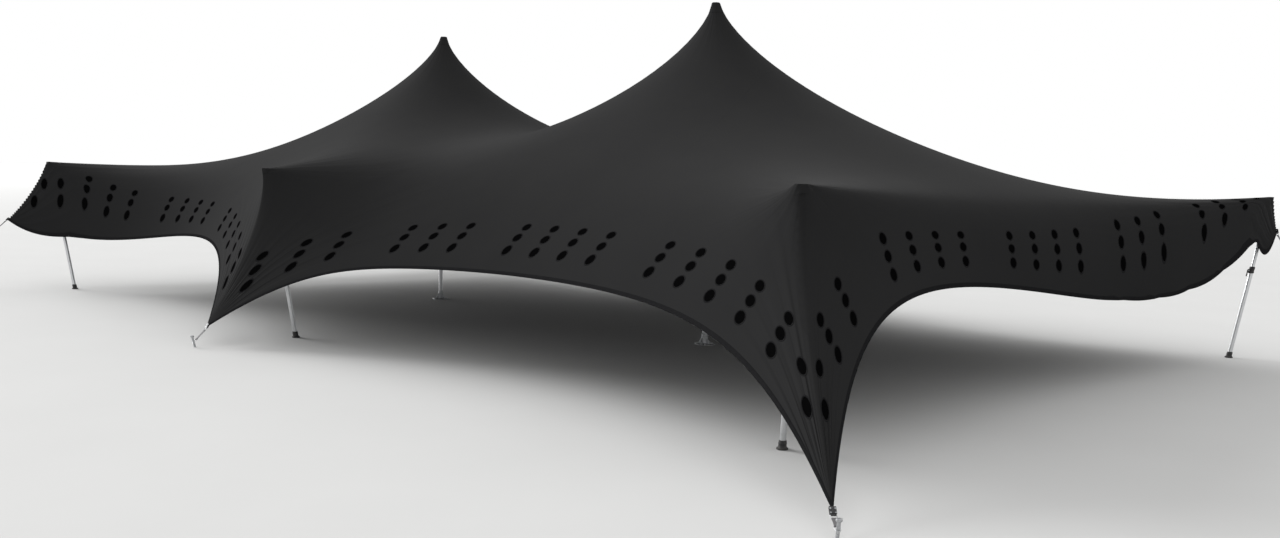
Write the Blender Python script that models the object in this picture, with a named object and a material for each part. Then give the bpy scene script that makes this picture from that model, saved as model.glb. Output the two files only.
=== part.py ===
"""Freeform stretch tent at full size, in metres, with +Z up.

One rectangle of stretch fabric is pushed up by two masts and six side poles, and
pulled out by six straps to stakes in the ground. Its shape is found as a net of
tensioned lines: every knot of the net lies where the pulls on it balance. The net is
then cut along its seams into panels and each panel is given the fabric's thickness.

The front is towards -Y. The tent repeats under half a turn about the Z axis, apart
from its two raised corners, front left and back right, which are pulled differently.
"""

import math

import bmesh
import bpy
import numpy as np
from mathutils import Vector

# Plan, from the centre to the corner anchors
HALF_LENGTH = 9.25
HALF_WIDTH = 5.80
MIDDLE_ANCHOR_X = -0.65

# Heights
MAST_HEIGHT = 4.95
POLE_HEIGHT = 2.40
MAST_RIGHT = (3.28, -0.12)
MAST_LEFT = (-3.41, -0.04)

# Each anchor: height of the fabric's tip, and how far its pole stands inside it
LOW_TIP, LOW_INSET = 0.135, 1.77
MIDDLE_TIP, MIDDLE_INSET = 0.26, 0.84
BACK_RIGHT_TIP, BACK_RIGHT_INSET = 1.89, 0.13
FRONT_LEFT_TIP, FRONT_LEFT_INSET = 1.29, 0.80

# The flat cut of the fabric: a plain hem, three rows of vents, then even cells
BAND_LINES = (0.0, 0.15, 0.34, 0.53, 0.72)
CELL = 0.50
LONG_CELLS, SHORT_CELLS = 33, 20
VENT_RADIUS = 0.062
VENT_SIDES = 6
FABRIC = 0.006
SEAM_GAP = 0.0003

# Parts that a cell is divided into while the shape is found: hem cells, then the others
HEM_CUTS, ROOF_CUTS = 6, 4
HEM_CELLS = 7

# Tension of the net's lines, taking the fabric's own as 1 per metre
HEM_PULL_LOW_BAY, HEM_PULL_HIGH_BAY, HEM_PULL_END = 2.28, 1.055, 1.125
HEAD_LINE_LOW_BAY, HEAD_LINE_HIGH_BAY, HEAD_LINE_END = 1.51, 2.63, 26.7
HEAD_LINE_SPREAD, HEAD_LINE_NARROWS, HEAD_LINE_COUNT = 1.0, 0.5, 15
LEG_PULL_LOW, LEG_PULL_MIDDLE = 1.0, 2.74
LEG_PULL_FRONT_LEFT, LEG_PULL_BACK_RIGHT = 1.93, 2.0
MAST_PULL, MAST_PULL_FADE, MAST_CORE = 2.59, 0.789, 0.25
EDGE_SLACK, EDGE_SLACK_WIDTH = 0.751, 0.808
VALLEY_PULL, VALLEY_WIDTH = 2.75, 1.09
LOW_BAY_SKEW, LOW_BAY_BOW, LOW_BAY_DEPTH = -0.436, -0.314, 1.2
LOW_CORNER_PULL, LOW_CORNER_WIDTH = 0.80, 2.15

# Weight that draws the slack hem down, in the same measure; the ends' own two are the
# skew towards the raised corner and the load close to it
HEM_SAG_LOW_BAY, HEM_SAG_HIGH_BAY = 0.343, 0.193
HEM_SAG_HIGH_CORNER, HIGH_CORNER_POWER = 2.0, 3.54
HEM_SAG_END, END_CORNER_POWER = 0.159, 7.1
HEM_SAG_RIGHT_END, HEM_SAG_LEFT_END = (0.416, 9.7), (0.904, 2.05)

# Poles and rigging
POLE_RADIUS, MAST_RADIUS = 0.030, 0.038
POLE_HEAD, MAST_HEAD = 0.036, 0.037
POLE_CAP, MAST_CAP = 0.055, 0.055
CAP_DOME = 0.05
POLE_FOOT_IN = 0.45
TIP_WIDTH, TIP_REACH = 0.050, 0.040
STRAP_WIDTH, STRAP_THICK, NOSE_SHARE = 0.050, 0.004, 0.95
STAKE_RADIUS, STAKE_STICKOUT, STAKE_LEAN = 0.014, 0.16, 15.0
LOW_STRAP_OUT, HIGH_STRAP_OUT = 0.16, 1.30

# Groups of vent columns along each bay, with one column bare between two groups; the
# high bay is counted from the middle anchor and the others from the low corner
VENT_BAYS = {
    "low": (5, 4, 3, 3),
    "high": (5, 4, 4),
    "end": (2, 4, 4, 3, 3),
}


def clear_scene():
    for obj in list(bpy.data.objects):
        bpy.data.objects.remove(obj, do_unlink=True)


def material(name, colour, roughness, metallic):
    made = bpy.data.materials.new(name)
    made.use_nodes = True
    shader = made.node_tree.nodes["Principled BSDF"]
    shader.inputs["Base Color"].default_value = (*colour, 1)
    shader.inputs["Roughness"].default_value = roughness
    shader.inputs["Metallic"].default_value = metallic
    return made


def net_lines(cells):
    """Distances of the net's lines from the middle of the flat cut."""
    total = 2 * BAND_LINES[-1] + cells * CELL
    inner = [BAND_LINES[-1] + CELL * k for k in range(1, cells + 1)]
    far = [total - d for d in reversed(BAND_LINES)][1:]
    return np.array([*BAND_LINES, *inner, *far]) - total / 2


def divided(lines):
    """The net's lines with finer ones between, and where each of them is among those."""
    cells = len(lines) - 1
    fine, index = [lines[0]], [0]
    for k in range(cells):
        near_hem = k < HEM_CELLS or k >= cells - HEM_CELLS
        cuts = HEM_CUTS if near_hem else ROOF_CUTS
        fine += [lines[k] + (lines[k + 1] - lines[k]) * c / cuts for c in range(1, cuts + 1)]
        index.append(len(fine) - 1)
    return np.array(fine), index


LINES_X, LINES_Y = net_lines(LONG_CELLS), net_lines(SHORT_CELLS)
LAST_I, LAST_J = len(LINES_X) - 1, len(LINES_Y) - 1
FINE_X, INDEX_X = divided(LINES_X)
FINE_Y, INDEX_Y = divided(LINES_Y)
BAND = len(BAND_LINES) - 1
LOW_BAY_CELLS, LOW_BAY_SPLIT, HIGH_BAY_SPLIT = 18, 9, 12
MIDDLE_I = LAST_I - BAND - LOW_BAY_CELLS
MIDDLE_POLE_J = BAND + 3
LOW_POLE_STEPS, FRONT_LEFT_STEPS, BACK_RIGHT_STEPS = BAND + 2, BAND, 2


def corner_anchor(side_x, side_y, steps, inset, tip):
    """Knot and place of the fabric's tip and of the pole head at one corner."""
    x, y = side_x * HALF_LENGTH, side_y * HALF_WIDTH
    i, j = (LAST_I if side_x > 0 else 0), (LAST_J if side_y > 0 else 0)
    step = inset / math.sqrt(2)
    return {
        "tip_knot": (i, j),
        "tip": (x, y, tip),
        "pole_knot": (i - side_x * steps, j - side_y * steps),
        "pole": (x - side_x * step, y - side_y * step, POLE_HEIGHT),
        "outward": (side_x / math.sqrt(2), side_y / math.sqrt(2)),
    }


def middle_anchor(side_y):
    """The same for the anchor in the middle of a long side."""
    front = side_y < 0
    i, j = (MIDDLE_I, 0) if front else (LAST_I - MIDDLE_I, LAST_J)
    x = -side_y * MIDDLE_ANCHOR_X
    return {
        "tip_knot": (i, j),
        "tip": (x, side_y * HALF_WIDTH, MIDDLE_TIP),
        "pole_knot": (i, j - side_y * MIDDLE_POLE_J),
        "pole": (x, side_y * (HALF_WIDTH - MIDDLE_INSET), POLE_HEIGHT),
        "outward": (0.0, float(side_y)),
    }


ANCHORS = {
    "front_right": corner_anchor(1, -1, LOW_POLE_STEPS, LOW_INSET, LOW_TIP),
    "front_middle": middle_anchor(-1),
    "front_left": corner_anchor(-1, -1, FRONT_LEFT_STEPS, FRONT_LEFT_INSET, FRONT_LEFT_TIP),
    "back_left": corner_anchor(-1, 1, LOW_POLE_STEPS, LOW_INSET, LOW_TIP),
    "back_middle": middle_anchor(1),
    "back_right": corner_anchor(1, 1, BACK_RIGHT_STEPS, BACK_RIGHT_INSET, BACK_RIGHT_TIP),
}
MASTS = {
    "right": {"knot": (LAST_I - BAND - 10, LAST_J // 2), "place": (*MAST_RIGHT, MAST_HEIGHT)},
    "left": {"knot": (BAND + 10, LAST_J // 2), "place": (*MAST_LEFT, MAST_HEIGHT)},
}
LEG_PULLS = {
    "front_right": LEG_PULL_LOW,
    "front_middle": LEG_PULL_MIDDLE,
    "front_left": LEG_PULL_FRONT_LEFT,
    "back_left": LEG_PULL_LOW,
    "back_middle": LEG_PULL_MIDDLE,
    "back_right": LEG_PULL_BACK_RIGHT,
}
# Neighbouring pole heads, the pull between them, and the axis that they lie along
HEAD_LINES = (
    ("front_right", "front_middle", HEAD_LINE_LOW_BAY, 0),
    ("back_left", "back_middle", HEAD_LINE_LOW_BAY, 0),
    ("front_middle", "front_left", HEAD_LINE_HIGH_BAY, 0),
    ("back_middle", "back_right", HEAD_LINE_HIGH_BAY, 0),
    ("front_right", "back_right", HEAD_LINE_END, 1),
    ("back_left", "front_left", HEAD_LINE_END, 1),
)


def unit(vector):
    return vector / np.linalg.norm(vector)


def half_widths(lines):
    """The width of fabric that each line of the net stands for."""
    steps = np.diff(lines)
    width = np.zeros(len(lines))
    width[:-1] += steps / 2
    width[1:] += steps / 2
    return width


def mast_factor(x, y):
    """The fabric is tighter round the masts, which keeps its cones from being spikes."""
    factor = np.ones_like(x)
    for mast in MASTS.values():
        away = np.maximum(np.hypot(x - LINES_X[mast["knot"][0]], y), MAST_CORE)
        factor = factor + MAST_PULL / away * np.exp(-away * MAST_PULL_FADE)
    return factor


def edge_factor(across, half):
    """The fabric is slack near its hem, so it falls more steeply there."""
    return 1 - EDGE_SLACK * np.exp(-(half - np.abs(across)) / EDGE_SLACK_WIDTH)


def low_bay_factor(x, y):
    """The low bays are tighter towards the middle anchor than towards the low corner."""
    split, end_x, end_y = LINES_X[MIDDLE_I], LINES_X[-1], LINES_Y[-1]
    factor = np.ones_like(x)
    for side in (1, -1):
        along = (side * x - (end_x + split) / 2) / ((end_x - split) / 2)
        deep = np.exp(-(((side * y + end_y) / LOW_BAY_DEPTH) ** 2))
        bent = (LOW_BAY_SKEW * along + LOW_BAY_BOW * (along**2 - 1 / 3)) * deep
        factor *= np.where(np.abs(along) <= 1, np.exp(bent), 1)
    return factor


def low_corner_factor(x, y):
    """The two low corners are pulled hardest."""
    factor = np.ones_like(x)
    for side in (1, -1):
        away = np.hypot(side * x - LINES_X[-1], side * y + LINES_Y[-1])
        factor *= 1 + LOW_CORNER_PULL * np.exp(-((away / LOW_CORNER_WIDTH) ** 2))
    return factor


def crease_knots():
    """Pairs of knots joined by the crease that runs from a corner's tip to its pole."""
    pairs = set()
    for anchor in ANCHORS.values():
        run = knots_between(anchor["tip_knot"], anchor["pole_knot"])
        pairs |= {frozenset(pair) for pair in zip(run[:-1], run[1:])}
    return pairs


def line_pulls():
    """Pull per metre of length in each piece of the fine net, along X and along Y."""
    x, y = np.meshgrid(FINE_X, FINE_Y, indexing="ij")
    steps_x, steps_y = np.diff(FINE_X), np.diff(FINE_Y)
    xx, xy = (x[:-1] + x[1:]) / 2, (y[:-1] + y[1:]) / 2
    yx, yy = (x[:, :-1] + x[:, 1:]) / 2, (y[:, :-1] + y[:, 1:]) / 2
    along_x = half_widths(FINE_Y)[None, :] / steps_x[:, None]
    along_y = half_widths(FINE_X)[:, None] / steps_y[None, :]
    along_x = along_x * mast_factor(xx, xy) * edge_factor(xx, LINES_X[-1])
    along_x = along_x * low_bay_factor(xx, xy) * low_corner_factor(xx, xy)
    along_y = along_y * mast_factor(yx, yy) * edge_factor(yy, LINES_Y[-1])
    along_y = along_y * (1 + VALLEY_PULL * np.exp(-((yx / VALLEY_WIDTH) ** 2)))
    along_y = along_y * low_corner_factor(yx, yy)
    front = np.where(xx[:, 0] > LINES_X[MIDDLE_I], HEM_PULL_LOW_BAY, HEM_PULL_HIGH_BAY)
    front = front * low_bay_factor(xx[:, 0], np.full_like(xx[:, 0], LINES_Y[0]))
    along_x[:, 0] += front / steps_x
    along_x[:, -1] += front[::-1] / steps_x
    along_y[0] += HEM_PULL_END / steps_y
    along_y[-1] += HEM_PULL_END / steps_y
    return along_x, along_y


def knots_between(start, end):
    """The knots on the straight run between two knots."""
    steps = max(abs(end[0] - start[0]), abs(end[1] - start[1]))
    return [(round(start[0] + (end[0] - start[0]) * k / steps),
             round(start[1] + (end[1] - start[1]) * k / steps)) for k in range(steps + 1)]


def fine_knot(knot):
    return INDEX_X[knot[0]], INDEX_Y[knot[1]]


def extra_lines():
    """Creases under tension: down each leg, and spread between neighbouring pole heads."""
    for name, anchor in ANCHORS.items():
        start, end = fine_knot(anchor["tip_knot"]), fine_knot(anchor["pole_knot"])
        yield knots_between(start, end), LEG_PULLS[name]
    offsets = np.linspace(-1, 1, HEAD_LINE_COUNT + 2)[1:-1] * HEAD_LINE_SPREAD
    shares = 1 - np.abs(offsets) / HEAD_LINE_SPREAD
    shares /= shares.sum()
    lines = (FINE_X, FINE_Y)
    for first, second, pull, axis in HEAD_LINES:
        a, b = fine_knot(ANCHORS[first]["pole_knot"]), fine_knot(ANCHORS[second]["pole_knot"])
        along, across = lines[axis], lines[1 - axis]
        onwards = 1 if b[axis] > a[axis] else -1
        for offset, share in zip(offsets, shares):
            run = []
            for k in range(a[axis], b[axis] + onwards, onwards):
                gone, left = abs(along[k] - along[a[axis]]), abs(along[k] - along[b[axis]])
                part = gone / (gone + left)
                middle = across[a[1 - axis]] * (1 - part) + across[b[1 - axis]] * part
                middle += offset * min(1, gone / HEAD_LINE_NARROWS, left / HEAD_LINE_NARROWS)
                nearest = int(np.abs(across - middle).argmin())
                run.append((k, nearest) if axis == 0 else (nearest, k))
            yield run, pull * share


def hem_weight():
    """Downward load on the hem's knots, which lets the slack bays hang."""
    load = np.zeros((len(FINE_X), len(FINE_Y)))
    split, end_x, end_y = LINES_X[MIDDLE_I], LINES_X[-1], LINES_Y[-1]
    low = np.clip((FINE_X - split) / (end_x - split), 0, 1)
    high = np.clip((split - FINE_X) / (end_x + split), 0, 1)
    front = HEM_SAG_LOW_BAY * np.sin(np.pi * low) + HEM_SAG_HIGH_BAY * np.sin(np.pi * high)
    front += HEM_SAG_HIGH_CORNER * np.where(high < 1, high**HIGH_CORNER_POWER, 0)
    front *= half_widths(FINE_X)
    load[:, 0] += front
    load[:, -1] += front[::-1]
    up = (FINE_Y + end_y) / (2 * end_y)
    for i, shares, (skew, corner) in ((-1, up, HEM_SAG_RIGHT_END), (0, up[::-1], HEM_SAG_LEFT_END)):
        end = (HEM_SAG_END + skew * shares) * np.sin(np.pi * shares)
        end += corner * np.where(shares < 1, shares**END_CORNER_POWER, 0)
        load[i] += half_widths(FINE_Y) * end
    return load


def held_knots():
    """Knots of the fine net with a fixed place: tips, and the caps over the pole heads."""
    held = {fine_knot(anchor["tip_knot"]): np.array(anchor["tip"]) for anchor in ANCHORS.values()}
    heads = [(anchor["pole_knot"], anchor["pole"], POLE_CAP) for anchor in ANCHORS.values()]
    heads += [(mast["knot"], mast["place"], MAST_CAP) for mast in MASTS.values()]
    for knot, place, cap in heads:
        i, j = fine_knot(knot)
        for a in (i - 1, i, i + 1):
            for b in (j - 1, j, j + 1):
                aside = np.array((FINE_X[a] - FINE_X[i], FINE_Y[b] - FINE_Y[j], 0.0))
                away = np.linalg.norm(aside)
                if away > cap:
                    aside *= cap / away
                sunk = CAP_DOME * (aside @ aside) / cap
                held[a, b] = np.array(place) + aside - (0, 0, sunk)
    return held


def balanced_net():
    """The place of every knot, for which all pulls and loads on it balance."""
    shape = (len(FINE_X), len(FINE_Y))
    along_x, along_y = line_pulls()
    starts, ends, pulls = [], [], []
    for run, pull in extra_lines():
        for a, b in zip(run[:-1], run[1:]):
            if a != b:
                starts.append(a[0] * shape[1] + a[1])
                ends.append(b[0] * shape[1] + b[1])
                length = math.hypot(FINE_X[a[0]] - FINE_X[b[0]], FINE_Y[a[1]] - FINE_Y[b[1]])
                pulls.append(pull / length)
    pulls = np.array(pulls)

    def pull_on(places):
        total = np.zeros_like(places)
        step = along_x[..., None] * (places[1:] - places[:-1])
        total[:-1] += step
        total[1:] -= step
        step = along_y[..., None] * (places[:, 1:] - places[:, :-1])
        total[:, :-1] += step
        total[:, 1:] -= step
        flat, flat_total = places.reshape(-1, 3), total.reshape(-1, 3)
        step = pulls[:, None] * (flat[ends] - flat[starts])
        np.add.at(flat_total, starts, step)
        np.add.at(flat_total, ends, -step)
        return total

    stiffness = np.zeros(shape)
    stiffness[:-1] += along_x
    stiffness[1:] += along_x
    stiffness[:, :-1] += along_y
    stiffness[:, 1:] += along_y
    np.add.at(stiffness.reshape(-1), starts, pulls)
    np.add.at(stiffness.reshape(-1), ends, pulls)
    places = np.zeros((*shape, 3))
    places[..., 0] = FINE_X[:, None] * HALF_LENGTH / LINES_X[-1]
    places[..., 1] = FINE_Y[None, :] * HALF_WIDTH / LINES_Y[-1]
    places[..., 2] = POLE_HEIGHT
    free = np.ones((*shape, 1))
    for knot, place in held_knots().items():
        places[knot] = place
        free[knot] = 0
    load = np.zeros_like(places)
    load[..., 2] = -hem_weight()
    # Conjugate gradients, each knot's share divided by the stiffness that holds it
    rest = (pull_on(places) + load) * free
    eased = rest / stiffness[..., None]
    move = eased.copy()
    size = first = (rest * eased).sum((0, 1))
    while (size > first * 1e-14).any():
        pulled = -pull_on(move) * free
        amount = size / np.maximum((move * pulled).sum((0, 1)), 1e-30)
        places += amount * move
        rest -= amount * pulled
        eased = rest / stiffness[..., None]
        before, size = size, (rest * eased).sum((0, 1))
        move = eased + size / np.maximum(before, 1e-30) * move
    return places[np.ix_(INDEX_X, INDEX_Y)]


def cell_knots(cell):
    """The four knots round a cell."""
    i, j = cell
    return [(i, j), (i + 1, j), (i + 1, j + 1), (i, j + 1)]


def folds_first(loop, places, creases):
    """Whether a cell is folded from its first corner to its third."""
    if frozenset((loop[0], loop[2])) in creases:
        return True
    if frozenset((loop[1], loop[3])) in creases:
        return False
    a, b, c, d = (places[knot] for knot in loop)
    return np.linalg.norm(a - c) <= np.linalg.norm(b - d) + 1e-6


def middle_direction(directions):
    """The direction whose widest angle to any of the given ones is least."""
    middle = unit(sum(directions))
    for step in range(2, 40):
        furthest = min(directions, key=lambda direction: direction @ middle)
        middle = unit(middle + (furthest - middle) / step)
    return middle


def net_normals(places, creases):
    """The outward direction of the fabric at each knot, from the triangles round it."""
    around = {}
    for i in range(LAST_I):
        for j in range(LAST_J):
            loop = cell_knots((i, j))
            if not folds_first(loop, places, creases):
                loop = loop[1:] + loop[:1]
            for triangle in ((loop[0], loop[1], loop[2]), (loop[0], loop[2], loop[3])):
                a, b, c = (places[knot] for knot in triangle)
                for knot in triangle:
                    around.setdefault(knot, []).append(unit(np.cross(b - a, c - a)))
    normals = np.zeros_like(places)
    for knot, directions in around.items():
        normals[knot] = middle_direction(directions)
    return normals


# Panels as ranges of cells; a cell belongs to the first panel that holds it
CORNER, LEG_HALF, LEG_DEEP, SIDE_BAND = BAND + 3, 3, BAND + 5, BAND + 1
FRONT_PANELS = {
    "corner_front_right": (LAST_I - CORNER, LAST_I, 0, CORNER),
    "corner_front_left": (0, CORNER, 0, CORNER),
    "leg_front": (MIDDLE_I - LEG_HALF, MIDDLE_I + LEG_HALF, 0, LEG_DEEP),
    "vents_front_right_a": (MIDDLE_I + LOW_BAY_SPLIT, LAST_I - CORNER, 0, SIDE_BAND),
    "vents_front_right_b": (MIDDLE_I + LEG_HALF, MIDDLE_I + LOW_BAY_SPLIT, 0, SIDE_BAND),
    "vents_front_left_a": (CORNER, HIGH_BAY_SPLIT, 0, SIDE_BAND),
    "vents_front_left_b": (HIGH_BAY_SPLIT, MIDDLE_I - LEG_HALF, 0, SIDE_BAND),
    "vents_right_a": (LAST_I - SIDE_BAND, LAST_I, CORNER, LAST_J // 2),
    "vents_right_b": (LAST_I - SIDE_BAND, LAST_I, LAST_J // 2, LAST_J - CORNER),
}
OPPOSITE = {"front": "back", "right": "left", "left": "right"}
ROOF_SEAMS = {
    "roof_left_end": (SIDE_BAND, BAND + 7),
    "roof_left_mast": (BAND + 7, BAND + 13),
    "roof_middle": (BAND + 13, LAST_I - BAND - 13),
    "roof_right_mast": (LAST_I - BAND - 13, LAST_I - BAND - 7),
    "roof_right_end": (LAST_I - BAND - 7, LAST_I - SIDE_BAND),
}


def panel_ranges():
    """Every panel's name and range of cells, the back ones turned from the front ones."""
    ranges = dict(FRONT_PANELS)
    for name, (i0, i1, j0, j1) in FRONT_PANELS.items():
        opposite = "_".join(OPPOSITE.get(word, word) for word in name.split("_"))
        ranges[opposite] = (LAST_I - i1, LAST_I - i0, LAST_J - j1, LAST_J - j0)
    for name, (i0, i1) in ROOF_SEAMS.items():
        ranges[name] = (i0, i1, SIDE_BAND, LAST_J - SIDE_BAND)
    return ranges


def panel_cells():
    """The cells of each panel."""
    taken, panels = set(), {}
    for name, (i0, i1, j0, j1) in panel_ranges().items():
        cells = {(i, j) for i in range(i0, i1) for j in range(j0, j1)} - taken
        taken |= cells
        panels[name] = cells
    return panels


def vent_columns(groups):
    """Columns of vents along a bay: the groups with one bare column between them."""
    columns, start = [], 0
    for size in groups:
        columns += range(start, start + size)
        start += size + 1
    return columns


def vent_cells():
    """The cells that have a vent."""
    rows = range(1, BAND)
    cells = set()
    for row in rows:
        cells |= {(LAST_I - 1 - BAND - c, row) for c in vent_columns(VENT_BAYS["low"])}
        cells |= {(MIDDLE_I - 1 - c, row) for c in vent_columns(VENT_BAYS["high"])}
        cells |= {(LAST_I - 1 - row, BAND + c) for c in vent_columns(VENT_BAYS["end"])}
        for other in rows:
            if (row + other) % 2:
                cells |= {(LAST_I - 1 - row, other), (row, other)}
    cells |= {(LAST_I - 1 - i, LAST_J - 1 - j) for i, j in cells}
    return {c for c in cells if not any(cap_radius(knot) for knot in cell_knots(c))}


def cap_radius(knot):
    """How far the flat cap over a pole head reaches, or none away from the heads."""
    if knot in [anchor["pole_knot"] for anchor in ANCHORS.values()]:
        return POLE_CAP
    if knot in [mast["knot"] for mast in MASTS.values()]:
        return MAST_CAP
    return None


def tip_sides(knot):
    """The knots next to a fabric tip along the hem, and inwards from a middle tip."""
    i, j = knot
    inward_j = 1 if j == 0 else j - 1
    if 0 < i < LAST_I:
        return [(i - 1, j), (i + 1, j), (i, inward_j)]
    return [(1 if i == 0 else i - 1, j), (i, inward_j)]


TIPS = [anchor["tip_knot"] for anchor in ANCHORS.values()]


def tip_point(places, knot, towards):
    """Where the straight end of the fabric at a tip crosses one of the net's lines."""
    tip = places[knot]
    first, second = (unit(places[k] - tip) for k in tip_sides(knot)[:2])
    half_angle = math.acos(float(np.clip(first @ second, -1, 1))) / 2
    reach = min(TIP_WIDTH / 2 / math.sin(half_angle), TIP_REACH)
    if towards not in tip_sides(knot)[:2]:
        reach *= math.cos(half_angle)
    return tip + unit(places[towards] - tip) * reach


class Panel:
    """One panel of the fabric, built as a thin closed shell round the net."""

    def __init__(self, cells, vents, places, normals, creases):
        self.cells, self.vents = cells, vents
        self.places, self.normals, self.creases = places, normals, creases
        self.bm = bmesh.new()
        self.knots = {}

    def pair(self, place, normal):
        """The outer and the inner point of the fabric at one place."""
        half = normal * FABRIC / 2
        return self.bm.verts.new(place + half), self.bm.verts.new(place - half)

    def seam_shift(self, knot):
        """Half the seam's gap, away from the panels next to this one."""
        i, j = knot
        around = {(a, b): (i + a - 1, j + b - 1) in self.cells for a in (0, 1) for b in (0, 1)}
        real = {
            (a, b): 0 <= i + a - 1 < LAST_I and 0 <= j + b - 1 < LAST_J
            for a in (0, 1)
            for b in (0, 1)
        }
        moves = set()
        for a in (0, 1):
            if around[a, 0] != around[a, 1] and real[a, 0] and real[a, 1]:
                moves.add((0, 1 if around[a, 1] else -1))
        for b in (0, 1):
            if around[0, b] != around[1, b] and real[0, b] and real[1, b]:
                moves.add((1 if around[1, b] else -1, 0))
        shift = np.zeros(3)
        for a, b in moves:
            shift = shift + unit(self.places[i + a, j + b] - self.places[knot])
        return shift * SEAM_GAP / 2

    def knot_points(self, knot, towards=None):
        """The pair of points at a knot, or on the flat cap's edge towards a neighbour."""
        key = (knot, towards)
        if key not in self.knots:
            place, normal = self.places[knot], self.normals[knot]
            if knot in TIPS:
                place = tip_point(self.places, knot, towards)
            elif towards:
                side = np.array([towards[0] - knot[0], towards[1] - knot[1], 0.0])
                place, normal = place + side * cap_radius(knot), side + (0, 0, 1)
            else:
                place = place + self.seam_shift(knot)
            self.knots[key] = self.pair(place, normal)
        return self.knots[key]

    def plain(self, cell):
        """A cell without a vent, cut short at a pole head or a fabric tip."""
        loop = cell_knots(cell)
        cut = [k for k, knot in enumerate(loop) if knot in TIPS or cap_radius(knot)]
        if cut:
            k = cut[0]
            before, after, opposite = loop[k - 1], loop[(k + 1) % 4], loop[(k + 2) % 4]
            first, last = self.knot_points(loop[k], before), self.knot_points(loop[k], after)
            middle = self.knot_points(opposite)
            self.face((middle, self.knot_points(before), first))
            self.face((middle, first, last))
            self.face((middle, last, self.knot_points(after)))
            return
        corners = [self.knot_points(knot) for knot in loop]
        if not folds_first(loop, self.places, self.creases):
            corners = corners[1:] + corners[:1]
        self.face((corners[0], corners[1], corners[2]))
        self.face((corners[0], corners[2], corners[3]))

    def face(self, pairs):
        self.bm.faces.new([outer for outer, _ in pairs])
        self.bm.faces.new([inner for _, inner in reversed(pairs)])

    def wall(self, a, b, other_way=False):
        """The edge of the fabric from a to b, with the fabric on the left."""
        if other_way:
            self.bm.faces.new((a[1], b[1], a[0]))
            self.bm.faces.new((b[1], b[0], a[0]))
        else:
            self.bm.faces.new((a[1], b[1], b[0]))
            self.bm.faces.new((a[1], b[0], a[0]))

    def vent(self, cell):
        """A round hole in the middle of a cell, joined to the cell's corners."""
        i, j = cell
        corners = [self.knot_points(knot) for knot in cell_knots(cell)]
        width = LINES_X[i + 1] - LINES_X[i], LINES_Y[j + 1] - LINES_Y[j]
        ring = []
        near = [[], [], [], []]
        for k in range(VENT_SIDES):
            turn = 2 * math.pi * (k + 0.5) / VENT_SIDES
            s = 0.5 + VENT_RADIUS * math.cos(turn) / width[0]
            t = 0.5 + VENT_RADIUS * math.sin(turn) / width[1]
            weights = ((i, j, (1 - s) * (1 - t)), (i + 1, j, s * (1 - t)),
                       (i + 1, j + 1, s * t), (i, j + 1, (1 - s) * t))
            place = sum(self.places[a, b] * w for a, b, w in weights)
            normal = unit(sum(self.normals[a, b] * w for a, b, w in weights))
            ring.append(self.pair(place, normal))
            near[(2 * k + 1) * 4 // (2 * VENT_SIDES)].append(ring[-1])
        for k, point in enumerate(ring):
            self.wall(ring[(k + 1) % VENT_SIDES], point)
        # Each corner takes the points of the ring on its own side
        near = near[2:] + near[:2]
        for points, corner in zip(near, corners):
            for a, b in zip(points[:-1], points[1:]):
                self.face((corner, b, a))
        for k in range(4):
            after = (k + 1) % 4
            self.face((corners[k], corners[after], near[after][0]))
            self.face((corners[k], near[after][0], near[k][-1]))

    def caps(self):
        """The flat caps over the pole heads."""
        for knot in sorted({knot for cell in self.cells for knot in cell_knots(cell)}):
            i, j = knot
            if cap_radius(knot):
                sides = ((i + 1, j), (i, j + 1), (i - 1, j), (i, j - 1))
                self.face([self.knot_points(knot, side) for side in sides])

    def edges(self):
        """The walls round the panel."""
        for i, j in sorted(self.cells):
            loop = cell_knots((i, j))
            beside = [(i, j - 1), (i + 1, j), (i, j + 1), (i - 1, j)]
            for k in range(4):
                a, b = loop[k], loop[(k + 1) % 4]
                if beside[k] not in self.cells:
                    start = self.knot_points(a, b if a in TIPS else None)
                    end = self.knot_points(b, a if b in TIPS else None)
                    self.wall(start, end, a > b)
                if a in TIPS:
                    self.wall(self.knot_points(a, loop[k - 1]), self.knot_points(a, b))

    def build(self):
        for cell in sorted(self.cells):
            if cell in self.vents:
                self.vent(cell)
            else:
                self.plain(cell)
        self.caps()
        self.edges()
        return self.bm


def add_object(name, bm, surface, smooth=None):
    mesh = bpy.data.meshes.new(name)
    bm.normal_update()
    bm.to_mesh(mesh)
    bm.free()
    mesh.materials.append(surface)
    if smooth is not None:
        mesh.shade_smooth()
        mesh.set_sharp_from_angle(angle=math.radians(smooth))
    obj = bpy.data.objects.new(name, mesh)
    bpy.context.scene.collection.objects.link(obj)
    return obj


def build_canopy(places, normals, creases, surface):
    vents = vent_cells()
    for name, cells in panel_cells().items():
        bm = Panel(cells, vents, places, normals, creases).build()
        bmesh.ops.recalc_face_normals(bm, faces=bm.faces)
        add_object(name, bm, surface, 60)


def turned(name, profile, top, surface, foot_in=(0, 0), segments=14):
    """A round pole turned from a profile of (radius, height); its foot stands inwards."""
    bm = bmesh.new()
    points = [bm.verts.new((radius, 0, height)) for radius, height in profile]
    edges = [bm.edges.new(pair) for pair in zip(points[:-1], points[1:])]
    bmesh.ops.spin(
        bm,
        geom=points + edges,
        cent=(0, 0, 0),
        axis=(0, 0, 1),
        angle=2 * math.pi,
        steps=segments,
        use_merge=True,
    )
    bmesh.ops.remove_doubles(bm, verts=bm.verts, dist=1e-5)
    for vert in bm.verts:
        share = 1 - vert.co.z / top[2]
        vert.co.x += top[0] + foot_in[0] * share
        vert.co.y += top[1] + foot_in[1] * share
    bmesh.ops.recalc_face_normals(bm, faces=bm.faces)
    return add_object(name, bm, surface, 40)


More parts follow.
